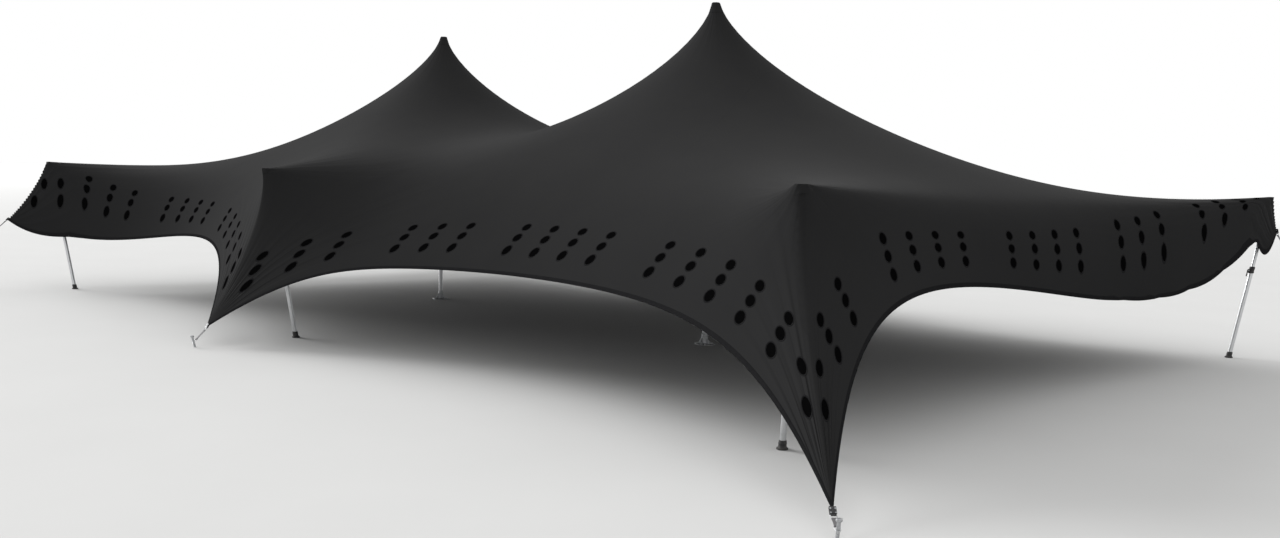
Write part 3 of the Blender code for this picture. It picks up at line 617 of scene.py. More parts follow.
def ventCells():
    # The cells with a hole: groups of columns with one bare column between two groups
    def columns(groups):
        found, start = [], 0
        for size in groups:
            found += range(start, start + size)
            start += size + 1
        return found

    bays, rows, cells = canopyCut["ventBays"], range(1, bandCells), set()
    for row in rows:
        cells |= {(lastX - 1 - bandCells - c, row) for c in columns(bays["low"])}
        cells |= {(middleX - 1 - c, row) for c in columns(bays["high"])}
        cells |= {(lastX - 1 - row, bandCells + c) for c in columns(bays["end"])}
        for other in rows:
            if (row + other) % 2:
                cells |= {(lastX - 1 - row, other), (row, other)}
    cells |= {(lastX - 1 - i, lastY - 1 - j) for i, j in cells}
    heads = {a["poleKnot"] for a in anchors.values()}
    return sorted((i, j) for i, j in cells if not heads & {(i, j), (i + 1, j), (i, j + 1), (i + 1, j + 1)})


vents = ventCells()
ventMiddles = [((coarseX[i] + coarseX[i + 1]) / 2, (coarseY[j] + coarseY[j + 1]) / 2) for i, j in vents]

# Stretch fabric: charcoal knit, matt, with a little sheen; drawn lines run out from the anchors
fabricLook = {
    "colour": (0.0150, 0.0151, 0.0155), "lighter": (0.0212, 0.0212, 0.0217), "dust": (0.034, 0.033, 0.031),
    "cloud": (0.55, 4), "cloudShare": 0.7, "fleck": (220.0, 2), "fleckShare": 0.35,
    "dusty": (2.3, 5), "dustShare": 0.16, "seamShare": 0.35,
    "roughness": 0.63, "rougher": 0.1, "specular": 0.0, "sheen": 0.045, "sheenRoughness": 0.35,
    "loopsPerMetre": 560.0, "coursesPerMetre": 420.0, "knitDepth": 0.0005,
    "seamDepth": 0.0012, "seamWidth": 0.012, "drawnDepth": 0.008,
}
# Lines drawn out by the pull round a knot of the net: how many to a full turn, where they begin
# and how far they reach, in metres, and their share of the full depth
drawnLines = {
    "cornerTip": {"turns": 34, "from": 0.10, "reach": 1.35, "share": 1.0},
    "mast": {"turns": 22, "from": 0.16, "reach": 0.55, "share": 0.5},
    "middleTip": {"turns": 30, "from": 0.10, "reach": 1.10, "share": 0.9},
    "lowPole": {"turns": 14, "from": 0.12, "reach": 0.50, "share": 0.35},
    "middlePole": {"turns": 14, "from": 0.12, "reach": 0.55, "share": 0.35},
}


def drawnRound(where, knot, s):
    # Height of the drawn lines round one knot
    dx, dy = [value - at for value, at in zip(where, cutPlace(knot))]
    away = (dx * dx + dy * dy).math("SQRT")
    angle = dy.math("ARCTAN2", dx)
    wander = newValue(dx.tree, "TexNoise", noise_dimensions="1D", W=angle * 5.0, Scale=1.0, Detail=2.0)
    wave = (angle * s["turns"] + wander * 9.0).math("SINE")
    begins = (away / (s["from"] * 2) - 0.5).clamped()
    fades = (away * (-1.0 / s["reach"])).math("EXPONENT")
    return wave * (begins * fades * s["share"]) * (wander + 0.35)


def knitWeave(flatCut, loopsPerMetre, coursesPerMetre):
    loops, courses = [
        newValue(flatCut.tree, "TexWave", 1, Vector=flatCut, Scale=perMetre / 20, bands_direction=axis,
                 Distortion=0.6, Detail=1.0)
        for axis, perMetre in (("X", loopsPerMetre), ("Y", coursesPerMetre))]
    return (loops + courses) * 0.5


def stretchFabric():
    s = fabricLook
    mat, place = newMaterial("stretchFabric")
    flatCut = onCut(mat, "flatCut")
    # The lines repeat: mirrored round corners and masts, turned by half a turn round the rest
    x, y = partsOf(flatCut)[:2]
    half = y.math("SIGN") * -1.0
    mirrored, turned = (x.math("ABSOLUTE"), y.math("ABSOLUTE")), (x * half, y * half)
    corner, middle = anchors["front_right"], anchors["front_middle"]
    knots = {"cornerTip": (mirrored, (lastX, lastY)), "mast": (mirrored, masts["right"]["knot"]),
             "middleTip": (turned, middle["tipKnot"]), "lowPole": (turned, corner["poleKnot"]),
             "middlePole": (turned, middle["poleKnot"])}
    drawn = [drawnRound(*knots[name], lines) for name, lines in drawnLines.items()]
    seam = ridges(mirrored[0], canopyCut["seams"], s["seamWidth"])
    # Colour: slow drift, a fine fleck of the yarn, paler dust on what faces up, and darker seams
    cloud, fleck = noise(place, *s["cloud"]), noise(flatCut, *s["fleck"])
    colour = mixed(cloud * s["cloudShare"] + fleck * s["fleckShare"], s["colour"], s["lighter"])
    up = partsOf(newValue(place.tree, "NewGeometry", "Normal"))[2]
    settled = (up * noise(place, *s["dusty"])).clamped()
    colour = mixed(settled * s["dustShare"], colour, s["dust"])
    colour = mixed(seam * s["seamShare"], colour, s["colour"])
    relief = bump(seam, s["seamDepth"], under=bump(sum(drawn[1:], drawn[0]), s["drawnDepth"]))
    knit = knitWeave(flatCut, s["loopsPerMetre"], s["coursesPerMetre"])
    return setShader(mat, {
        "Base Color": colour, "Normal": bump(knit, s["knitDepth"], 0.5, relief),
        "Roughness": cloud * s["rougher"] + s["roughness"], "Specular IOR Level": s["specular"],
        "Sheen Weight": s["sheen"], "Sheen Roughness": s["sheenRoughness"]})


# The hem and the vent bindings: the same knit, doubled and stitched, so a little darker and rougher
bindingLook = {
    "colour": (0.0085, 0.0085, 0.0090), "thread": (0.022, 0.022, 0.023), "worn": (30.0, 4), "wornShare": 0.5,
    "roughness": 0.75, "specular": 0.0, "stitch": 0.008, "sewnShare": 0.82,
    "threadWidth": 0.0016, "threadDepth": 0.0007, "pucker": 0.031, "puckerDepth": 0.0008,
}


def stitchedBinding(name, uvMap, rows):
    s = bindingLook
    mat = newMaterial(name)[0]
    flat = onCut(mat, uvMap)
    along, across = partsOf(flat)[:2]
    dash = (along / s["stitch"]).math("FRACT").math("LESS_THAN", s["sewnShare"])
    thread = ridges(across, rows, s["threadWidth"]) * dash
    worn = noise(flat, *s["worn"])
    colour = mixed(worn * s["wornShare"], s["colour"], s["thread"])
    puckers = (along * (2 * math.pi / s["pucker"])).math("SINE")
    relief = bump(thread, s["threadDepth"], under=bump(puckers * worn, s["puckerDepth"], 0.4))
    return setShader(mat, {"Base Color": mixed(thread, colour, s["thread"]), "Normal": relief,
                           "Roughness": s["roughness"], "Specular IOR Level": s["specular"]})


# Near-black sheet with a dense fine thread pattern in each vent: painted shade, standing in for the dark
# inside of the tent seen through the holes
ventShadeLook = {
    "colour": (0.0009, 0.0009, 0.0010), "thread": (0.0028, 0.0028, 0.0029), "threadsPerMetre": 1400.0,
    "depth": 0.0004, "roughness": 0.9, "specular": 0.0,
}


def paintedShadeNetting():
    s = ventShadeLook
    mat = newMaterial("paintedShadeNetting")[0]
    threads = knitWeave(onCut(mat, "flatCut"), s["threadsPerMetre"], s["threadsPerMetre"])
    return setShader(mat, {"Base Color": mixed(threads, s["colour"], s["thread"]),
                           "Normal": bump(threads, s["depth"], 0.5),
                           "Roughness": s["roughness"], "Specular IOR Level": s["specular"]})


# What is sewn on the sheet, and how far the painted-shade discs in the vents reach under the bindings
ventTrim = {"width": 0.014, "height": 0.0035, "sides": 16, "sunk": 0.001, "shadeDiscUnder": 0.004}
hemCut = {
    "width": 0.045, "proud": 0.0016, "roll": 0.006, "edge": 0.0014, "domed": 0.0004, "rows": (0.006, 0.038),
    "evenedOver": 6, "evened": (0.6, 2.5),      # knots on either side, and the least and most stretch
}
patchCut = {
    "mast": 0.34, "pole": 0.17,     # radius over each kind of head
    "height": 0.0022, "turns": 48, "rings": 12, "edge": 0.006, "sunk": 0.001,
}


def buildCanopy(mat):
    flat = [(x, y) for x in fineX for y in fineY]
    points, count = list(canopyNet.reshape(-1, 3)), len(fineY)
    faces, inVent = [], set()
    hole = canopyCut["ventRadius"]
    bound = hole + ventTrim["width"]
    for i, j in vents:
        i0, i1, j0, j1 = fineOfX[i], fineOfX[i + 1], fineOfY[j], fineOfY[j + 1]
        inVent |= {(a, b) for a in range(i0, i1) for b in range(j0, j1)}
        rim = [(a, j0) for a in range(i0, i1)] + [(i1, b) for b in range(j0, j1)]
        rim += [(a, j1) for a in range(i1, i0, -1)] + [(i0, b) for b in range(j1, j0, -1)]
        middle = ((fineX[i0] + fineX[i1]) / 2, (fineY[j0] + fineY[j1]) / 2)
        # Rings run from the cell's rim to the hole, each point keeping its place in the order
        angles = []
        for k, steps in enumerate((i1 - i0, j1 - j0) * 2):
            angles += [math.pi * (1.25 + 0.5 * (k + c / steps)) for c in range(steps)]
        low = [a * count + b for a, b in rim]
        for share, radius in ((0.5, bound), (1.0, bound), (1.0, hole)):
            high = list(range(len(points), len(points) + len(rim)))
            for (a, b), angle in zip(rim, angles):
                u, v = middle[0] + radius * math.cos(angle), middle[1] + radius * math.sin(angle)
                flat.append((fineX[a] + (u - fineX[a]) * share, fineY[b] + (v - fineY[b]) * share))
                points.append(readNet(canopyNet, *flat[-1]))
            for k in range(len(low)):
                after = (k + 1) % len(low)
                faces.append((low[k], low[after], high[after], high[k]))
            low = high
    for i in range(len(fineX) - 1):
        for j in range(count - 1):
            if (i, j) not in inVent:
                k = i * count + j
                faces.append((k, k + count, k + count + 1, k + 1))
    obj = meshPiece("canopy", points, faces, "flatCut", flat, mat)
    editAll(obj)
    bpy.ops.mesh.delete_loose()
    bpy.ops.object.mode_set(mode="OBJECT")
    applyModifier(obj, "SOLIDIFY", thickness=canopyCut["thickness"], offset=0)
    return obj


def buildBindings():
    # A raised ring round every vent, the same on both faces of the fabric
    s, count, half = ventTrim, ventTrim["sides"], canopyCut["thickness"] / 2
    inner, width = canopyCut["ventRadius"], s["width"]
    middle, outer, proud = inner + width / 2, inner + width, half + s["height"]
    profile = ((inner - s["sunk"], 0.0, 0.0), (middle, proud, width / 2), (outer, half - s["sunk"], width),
               (outer, s["sunk"] - half, width), (middle, -proud, width / 2))
    points, faces, uvs = [], [], []
    for u, v in ventMiddles:
        faces += skin(len(points), count, len(profile), closed=True)
        for k in range(count):
            a = 2 * math.pi * k / count
            for radius, height, across in profile:
                points.append(onFabric(u + radius * math.cos(a), v + radius * math.sin(a), height))
                uvs.append((a * middle, across))
    mat = stitchedBinding("ventBinding", "bindingLength", (width / 2,))
    return meshPiece("ventBindings", points, faces, "bindingLength", uvs, mat)


def buildPaintedVentShade():
    # A near-black disc filling each vent: painted shade for the dark inside of the tent behind the holes
    count, radius = ventTrim["sides"], canopyCut["ventRadius"] + ventTrim["shadeDiscUnder"]
    faces, uvs = [], []
    for u, v in ventMiddles:
        first = len(uvs)
        uvs += [*roundPoints(u, v, radius, count), (u, v)]
        faces += [(first + k, first + (k + 1) % count, first + count) for k in range(count)]
    return meshPiece("ventPaintedShade", [onFabric(*uv) for uv in uvs], faces, "flatCut", uvs, paintedShadeNetting())


def buildHem():
    # The hem: a strip folded over the sheet's edge and sewn through, all the way round
    wide, roll, n = hemCut["width"], hemCut["roll"], hemCut["evenedOver"]
    up = canopyCut["thickness"] / 2 + hemCut["proud"]
    rim = [(x, fineY[0], 0, 1) for x in fineX[:-1]] + [(fineX[-1], y, -1, 0) for y in fineY[:-1]]
    rim += [(x, fineY[-1], 0, -1) for x in fineX[:0:-1]] + [(fineX[0], y, 1, 0) for y in fineY[:0:-1]]
    # (inwards, height): the upper face, the rolled edge, and the under face
    section = [(wide, up - hemCut["edge"]), (wide - 0.001, up), (wide * 0.5, up + hemCut["domed"]),
               (roll, up), (0.0, roll * 0.62), (-roll * 0.45, 0.0), (0.0, -roll * 0.62), (roll, -up),
               (wide - 0.001, -up), (wide, hemCut["edge"] - up)]
    across = np.cumsum([0.0] + [math.dist(a, b) for a, b in zip(section, section[1:])])
    # The same width all round, however far the fabric is stretched there
    pulled = [np.linalg.norm(onFabric(x + inX * wide, y + inY * wide) - onFabric(x, y)) / wide
              for x, y, inX, inY in rim]
    pulled = np.clip(sum(np.roll(pulled, k) for k in range(-n, n + 1)) / (2 * n + 1), *hemCut["evened"])
    points, uvs, gone, before = [], [], 0.0, onFabric(*rim[0][:2])
    for k in range(len(rim) + 1):
        x, y, inX, inY = rim[k % len(rim)]
        place, out = onFabric(x, y), outwards(x, y)
        gone += float(np.linalg.norm(place - before))
        before = place
        inwards = onFabric(x + inX * wide * 1.5, y + inY * wide * 1.5) - place
        inwards = inwards - out * float(inwards @ out)
        inwards = inwards / np.linalg.norm(inwards)
        for (inward, height), side in zip(section, across):
            if inward > 0:
                step = inward / pulled[k % len(rim)]
                u = min(max(x + inX * step, step - halfX), halfX - step)
                v = min(max(y + inY * step, step - halfY), halfY - step)
                points.append(onFabric(u, v, height))
            else:
                points.append(place + inwards * inward + out * height)
            uvs.append((gone, side))
    mat = stitchedBinding("hemBinding", "hemLength", hemCut["rows"])
    obj = meshPiece("hem", points, skin(0, len(rim) + 1, len(section)), "hemLength", uvs, mat)
    cleanMesh(obj)
    return obj


def buildPatch(name, knot, radius, mat):
    # A round second layer of fabric over a pole head, its edge turned under
    s, turns = patchCut, patchCut["turns"]
    middle, half = cutPlace(knot), canopyCut["thickness"] / 2
    top = half + s["height"]
    rings = [(radius * k / s["rings"], top) for k in range(1, s["rings"] + 1)]
    rings += [(radius + s["edge"] / 2, half + s["height"] * 0.6), (radius + s["edge"], half - s["sunk"])]
    points, uvs = [onFabric(*middle, top)], [middle]
    for r, height in rings:
        ring = roundPoints(*middle, r, turns)
        points += [onFabric(u, v, height) for u, v in ring]
        uvs += ring
    faces = [(0, 1 + k, 1 + (k + 1) % turns) for k in range(turns)]
    faces += [face[::-1] for face in skin(1, len(rings), turns)]
    return meshPiece(name, points, faces, "flatCut", uvs, mat)


knitFabric = stretchFabric()
canopy = buildCanopy(knitFabric)
canopyNodes = [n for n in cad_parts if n.split("_")[0] in ("corner", "leg", "vents", "roof")]
dress(canopy, "stretch_fabric", *canopyNodes)
# Besides the sewn pieces, the near-black vent discs here are painted shade
sheetPieces = [buildBindings(), buildPaintedVentShade(), buildHem()]
sheetPieces += [buildPatch("mastPatch_" + side, mast["knot"], patchCut["mast"], knitFabric)
           for side, mast in masts.items()]
sheetPieces += [buildPatch("polePatch_" + side, anchor["poleKnot"], patchCut["pole"], knitFabric)
           for side, anchor in anchors.items() if side != "back_right"]
for piece in sheetPieces:
    dress(piece, "stretch_fabric")
["mast_left", "mast_right"] + ["pole_" + side for side in anchors]
print("canopy made:", len(canopy.data.polygons), "faces; sewn on it:", len(sheetPieces), "pieces")

# Metal, rubber and webbing
aluminiumLook = {
    "colour": (0.60, 0.61, 0.62), "dull": (0.44, 0.45, 0.46), "dullShare": 0.7, "worn": (22.0, 5),
    "wornFrom": (0.52, 0.66), "patchy": (5.0, 4), "streak": (1.0, 3), "streakStretch": (260.0, 260.0, 3.0),
    "streakDepth": 0.0003, "roughness": 0.26, "rougher": 0.12,
}
zincLook = {
    "light": (0.56, 0.57, 0.58), "dark": (0.36, 0.37, 0.38), "spangle": 55.0, "grime": (14.0, 5),
    "grimeShare": 0.35, "grain": (160.0, 3), "grainDepth": 0.0004, "roughness": 0.34, "rougher": 0.14,
}
# Rubber, and powder coating that is scuffed through to grey here and there
blackLooks = {
    "blackRubber": {
        "colour": (0.016, 0.016, 0.017), "worn": (0.060, 0.057, 0.052), "scuff": (26.0, 5),
        "scuffed": (0.45, 0.75, 0.8), "grain": (320.0, 2), "relief": (0.0005, 0.5), "roughness": 0.55},
    "blackCoating": {
        "colour": (0.014, 0.014, 0.015), "worn": (0.100, 0.100, 0.102), "scuff": (150.0, 6, 0.65),
        "scuffed": (0.56, 0.66), "grain": (420.0, 2), "relief": (0.0003, 0.4), "roughness": 0.36},
}
webbingLook = {
    "light": (0.185, 0.185, 0.195), "dark": (0.105, 0.105, 0.112), "dirt": (0.070, 0.064, 0.055),
    "width": 0.035, "ribs": 325.0, "picks": 300.0, "depth": 0.0005, "weaveShare": 0.35,
    "edge": 0.0035, "edgeShare": 0.3, "edgeSharpness": 300.0,
    "dirty": (45.0, 5), "dirtShare": 0.7, "dirtAbove": 0.35, "dirtFades": 4.0,
    "roughness": 0.8, "sheen": 0.08,
}


def drawnAluminium():
    s = aluminiumLook
    mat, place = newMaterial("drawnAluminium")
    along = newValue(place.tree, "Mapping", Vector=place, Scale=s["streakStretch"])
    streak, patchy = noise(along, *s["streak"]), noise(place, *s["patchy"])
    dull = ramp(noise(place, *s["worn"]), *s["wornFrom"]) * (patchy * s["dullShare"])
    return setShader(mat, {"Base Color": mixed(dull, s["colour"], s["dull"]), "Metallic": 1.0,
                           "Roughness": (streak + patchy) * s["rougher"] + s["roughness"],
                           "Normal": bump(streak, s["streakDepth"], 0.6)})


def zincSteel():
    s = zincLook
    mat, place = newMaterial("zincSteel")
    shade = partsOf(newValue(place.tree, "TexVoronoi", "Color", Vector=place, Scale=s["spangle"]))[0]
    grime = noise(place, *s["grime"])
    colour = mixed(grime * s["grimeShare"], mixed(shade, s["light"], s["dark"]), s["dark"])
    return setShader(mat, {"Base Color": colour, "Metallic": 1.0,
                           "Roughness": (shade + grime) * s["rougher"] + s["roughness"],
                           "Normal": bump(noise(place, *s["grain"]), s["grainDepth"], 0.4)})


def blackFinish(name):
    s = blackLooks[name]
    mat, place = newMaterial(name)
    scuff = noise(place, *s["scuff"])
    return setShader(mat, {"Base Color": mixed(ramp(scuff, *s["scuffed"]), s["colour"], s["worn"]),
                           "Roughness": scuff * 0.3 + s["roughness"],
                           "Normal": bump(noise(place, *s["grain"]), *s["relief"])})


def wovenWebbing():
    # Ribs along the strap, picks across them, paler edges, and dirt near the ground
    s = webbingLook
    mat, place = newMaterial("wovenWebbing")
    along, across = partsOf(onCut(mat, "webbingLength"))[:2]
    rib, pick = [(value * (perMetre * 2 * math.pi)).math("SINE")
                 for value, perMetre in ((across, s["ribs"]), (along, s["picks"]))]
    weave = (rib + pick) * 0.5
    edge = ((across.math("ABSOLUTE") - (s["width"] / 2 - s["edge"])) * s["edgeSharpness"]).clamped()
    low = (1.0 - partsOf(place)[2] * s["dirtFades"]).clamped()
    dirt = noise(place, *s["dirty"]) * (low + s["dirtAbove"])
    colour = mixed((weave + 1.0) * s["weaveShare"], s["dark"], s["light"])
    colour = mixed(dirt * s["dirtShare"], colour, s["dirt"])
    colour = mixed(edge * s["edgeShare"], colour, s["light"])
    return setShader(mat, {"Base Color": colour, "Normal": bump(weave, s["depth"], 0.8),
                           "Roughness": s["roughness"], "Sheen Weight": s["sheen"]})


aluminium, zinc, webbing = drawnAluminium(), zincSteel(), wovenWebbing()
rubber, coating = blackFinish("blackRubber"), blackFinish("blackCoating")


def finishPart(obj, mat, smooth=38):
    # The place goes into the mesh, and the edges sharper than the angle stay sharp
    makeActive(obj)
    bpy.ops.object.transform_apply(location=True, rotation=True, scale=True)
    cleanMesh(obj)
    bpy.ops.object.shade_smooth_by_angle(angle=math.radians(smooth))
    obj.data.materials.clear()
    obj.data.materials.append(mat)
    return obj


def joinParts(parts, name):
    deselectAll()
    for part in parts:
        part.select_set(True)
    bpy.context.view_layer.objects.active = parts[0]
    bpy.ops.object.join()
    obj = bpy.context.object
    obj.name = obj.data.name = name
    return obj


def turnPart(profile, mat, sides=28):
    # A disc drawn up ring by ring through (radius, height)
    deselectAll()
    radius, height = profile[0]
    bpy.ops.mesh.primitive_circle_add(vertices=sides, radius=radius, location=(0, 0, height),
                                      fill_type="NGON")
    obj = bpy.context.object
    editAll(obj)
    for nextRadius, nextHeight in profile[1:]:
        bpy.ops.mesh.extrude_region_move(TRANSFORM_OT_translate={"value": (0, 0, nextHeight - height)})
        size = nextRadius / radius
        bpy.ops.transform.resize(value=(size, size, 1), center_override=(0, 0, 0))
        radius, height = nextRadius, nextHeight
    bpy.ops.object.mode_set(mode="OBJECT")
    return finishPart(obj, mat)


def bevelEdges(obj, width, segments):
    editAll(obj)
    bpy.ops.mesh.bevel(offset=width, segments=segments, affect="EDGES")
    bpy.ops.object.mode_set(mode="OBJECT")


def boxPart(size, place, mat, bevel=0.002):
    # A block with its edges taken off
    deselectAll()
    bpy.ops.mesh.primitive_cube_add(size=1, location=place)
    obj = bpy.context.object
    obj.scale = size
    bpy.ops.object.transform_apply(location=False, rotation=False, scale=True)
    bevelEdges(obj, bevel, 2)
    return finishPart(obj, mat)


def rodPart(start, end, radius, mat, sides=20):
    start, end = Vector(start), Vector(end)
    deselectAll()
    turn = (end - start).to_track_quat("Z", "Y").to_euler()
    bpy.ops.mesh.primitive_cylinder_add(vertices=sides, radius=radius, depth=(end - start).length,
                                        location=(start + end) / 2, rotation=turn)
    obj = bpy.context.object
    applyModifier(obj, "BEVEL", width=radius * 0.15, segments=1, limit_method="ANGLE")
    return finishPart(obj, mat)


def boltPart(place, towards, size, mat):
    # Washer, and a six-sided head with its edges taken off, pointing towards a direction
    turn = Vector(towards).to_track_quat("Z", "Y").to_euler()
    made = []
    for sides, radius, depth, out, bevel in ((20, 1.0, 0.25, 0.125, 0), (6, 0.62, 0.5, 0.5, 0.05)):
        deselectAll()
        bpy.ops.mesh.primitive_cylinder_add(
            vertices=sides, radius=size * radius, depth=size * depth,
            location=Vector(place) + Vector(towards) * size * out, rotation=turn)
        obj = bpy.context.object
        if bevel:
            bevelEdges(obj, size * bevel, 1)
        made.append(finishPart(obj, mat, 20 if bevel else 38))
    return made


def wirePart(points, radius, mat, closed=True):
    # Bent round bar through the points
    curve = bpy.data.curves.new("wire", "CURVE")
    curve.dimensions = "3D"
    curve.bevel_depth = radius
    curve.bevel_resolution = 2
    curve.use_fill_caps = True
    spline = curve.splines.new("POLY")
    spline.points.add(len(points) - 1)
    for point, place in zip(spline.points, points):
        point.co = (*place, 1)
    spline.use_cyclic_u = closed
    obj = bpy.data.objects.new("wire", curve)
    bpy.context.scene.collection.objects.link(obj)
    makeActive(obj)
    bpy.ops.object.convert(target="MESH")
    return finishPart(bpy.context.object, mat, 60)


def leanPart(obj, foot, slope=(0.0, 0.0)):
    # Stands the part at its foot and leans it over; what is level stays level
    alongX, alongY = (1, 0, slope[0], foot[0]), (0, 1, slope[1], foot[1])
    obj.data.transform(Matrix((alongX, alongY, (0, 0, 1, 0), (0, 0, 0, 1))))
    obj.data.update()


def raised(profile, height):
    return [(radius, height + z) for radius, z in profile]


# Side poles: rubber foot, tube, clamp collar with its lever, thinner tube, rubber head; from the ground up
sidePole = {
    "footIn": 0.45, "radius": 0.030, "upperRadius": 0.0255, "joinAt": 1.32, "headClear": 0.006,
    "tubeFrom": 0.080, "tubeEnds": (0.006, 0.005), "tubeInHead": 0.05, "sides": 28,
    "foot": ((0.050, 0.0), (0.055, 0.003), (0.055, 0.010), (0.052, 0.013), (0.052, 0.017), (0.043, 0.022),
             (0.039, 0.030), (0.0375, 0.052), (0.040, 0.056), (0.040, 0.062), (0.0372, 0.066), (0.036, 0.086),
             (0.031, 0.090)),
    "collar": ((0.0315, -0.052), (0.0355, -0.050), (0.0375, -0.044), (0.0375, -0.034), (0.0350, -0.030),
               (0.0350, 0.006), (0.0375, 0.010), (0.0375, 0.030), (0.0345, 0.040), (0.0290, 0.046),
               (0.0262, 0.048)),
    "head": ((0.0262, -0.062), (0.0300, -0.058), (0.0310, -0.048), (0.0285, -0.040), (0.0285, -0.034),
             (0.0350, -0.026), (0.0360, -0.018), (0.0360, -0.008), (0.0335, -0.002), (0.0280, 0.0)),
    "buttons": 7, "buttonsFrom": 0.09, "buttonSpacing": 0.10, "buttonRadius": 0.0042,
    "buttonProud": (0.004, 0.0008),     # the one in use, and the others
    # The clamp's two ears and its lever: size, place from the ears' middle at the collar, bevel
    "earOut": 0.014,
    "clamp": (((0.026, 0.008, 0.050), (0.0, 0.0085, -0.016), 0.002),
              ((0.026, 0.008, 0.050), (0.0, -0.0085, -0.016), 0.002),
              ((0.014, 0.012, 0.096), (0.014, 0.0, -0.050), 0.003)),
    "pin": (0.003, -0.012), "pinReach": 0.020, "pinRadius": 0.0035, "boltAside": 0.0125, "boltSize": 0.0075,
}
mastParts = {
    "radius": 0.038, "upperRadius": 0.032, "joinAt": 2.60, "headClear": 0.006,
    "tubeFrom": 0.150, "tubeEnds": (0.012, 0.010), "tubeInHead": 0.06, "sides": 36,
    "plate": ((0.146, 0.0), (0.150, 0.002), (0.150, 0.010), (0.147, 0.012), (0.062, 0.012), (0.0495, 0.016)),
    "socket": ((0.0555, 0.012), (0.0535, 0.017), (0.0480, 0.021), (0.0480, 0.150), (0.0500, 0.152),
               (0.0500, 0.158), (0.0470, 0.161), (0.0390, 0.161)),
    "sleeve": ((0.0390, -0.070), (0.0430, -0.067), (0.0440, -0.060), (0.0440, -0.004), (0.0415, 0.004),
               (0.0360, 0.018), (0.0330, 0.024)),
    "head": ((0.0325, -0.070), (0.0350, -0.066), (0.0365, -0.056), (0.0365, -0.040), (0.0345, -0.034),
             (0.0345, -0.026), (0.0370, -0.018), (0.0370, -0.008), (0.0345, -0.002), (0.0290, 0.0)),
    "bolts": 4, "boltRing": 0.116, "boltSize": 0.013, "plateTop": 0.012,
    "ribs": 4, "rib": (0.070, 0.006, 0.085), "ribFrom": (0.046, 0.0115), "ribDrawnIn": 0.82,
    "pins": ((0.105, 0.048), (2.566, 0.044)),       # height, and half the width they go through
    "pinRadius": 0.006, "pinHead": 0.010, "pinRing": 0.016, "ringWire": 0.0014, "ringSides": 20,
}


def tubeParts(s, headTop):
    # The lower tube, and the thinner one that comes out of it and ends in the head
    r, upper, at, low, edge = s["radius"], s["upperRadius"], s["joinAt"], s["tubeFrom"], 0.001
    ends = [at - down for down in s["tubeEnds"]]
    return [turnPart(profile, aluminium, s["sides"]) for profile in (
        [(r - edge, low), (r, low + edge), (r, ends[0]), (r - edge, ends[1])],
        [(upper - edge, at), (upper, at + edge), (upper, headTop - s["tubeInHead"])])]


def buildSidePole(side, anchor):
    s = sidePole
    x, y, top = anchor["pole"]
    outX, outY = anchor["out"]
    headTop, upper, at = top - s["headClear"], s["upperRadius"], s["joinAt"]
    metal = tubeParts(s, headTop)
    # Spring buttons in the upper tube, the one above the collar in use
    for k in range(s["buttons"]):
        z = at + s["buttonsFrom"] + k * s["buttonSpacing"]
        proud = s["buttonProud"][min(k, 1)]
        metal.append(rodPart((upper - 0.002, 0, z), (upper + proud, 0, z), s["buttonRadius"], zinc, 14))
    levels = (("foot", 0), ("collar", at), ("head", headTop))
    dark = [turnPart(raised(s[name], z), rubber) for name, z in levels]
    # The clamp's ears and lever, its bolt and nuts
    ear = s["radius"] + s["earOut"]
    for size, place, bevel in s["clamp"]:
        dark.append(boxPart(size, (ear + place[0], place[1], at + place[2]), rubber, bevel))
    pinX, pinZ = ear + s["pin"][0], at + s["pin"][1]
    metal.append(rodPart((pinX, -s["pinReach"], pinZ), (pinX, s["pinReach"], pinZ), s["pinRadius"], zinc, 14))
    for way in (1, -1):
        metal += boltPart((pinX, way * s["boltAside"], pinZ), (0, way, 0), s["boltSize"], zinc)
    inwards = Matrix.Rotation(math.atan2(outY, outX) + math.pi, 4, "Z")     # for the lever
    tube, dark = joinParts(metal, "poleTube_" + side), joinParts(dark, "poleRubber_" + side)
    for obj in (tube, dark):
        obj.data.transform(inwards)
        leanPart(obj, (x - s["footIn"] * outX, y - s["footIn"] * outY),
                 (s["footIn"] * outX / top, s["footIn"] * outY / top))
    dress(tube, "pole_aluminium", "pole_" + side)
    dress(dark)


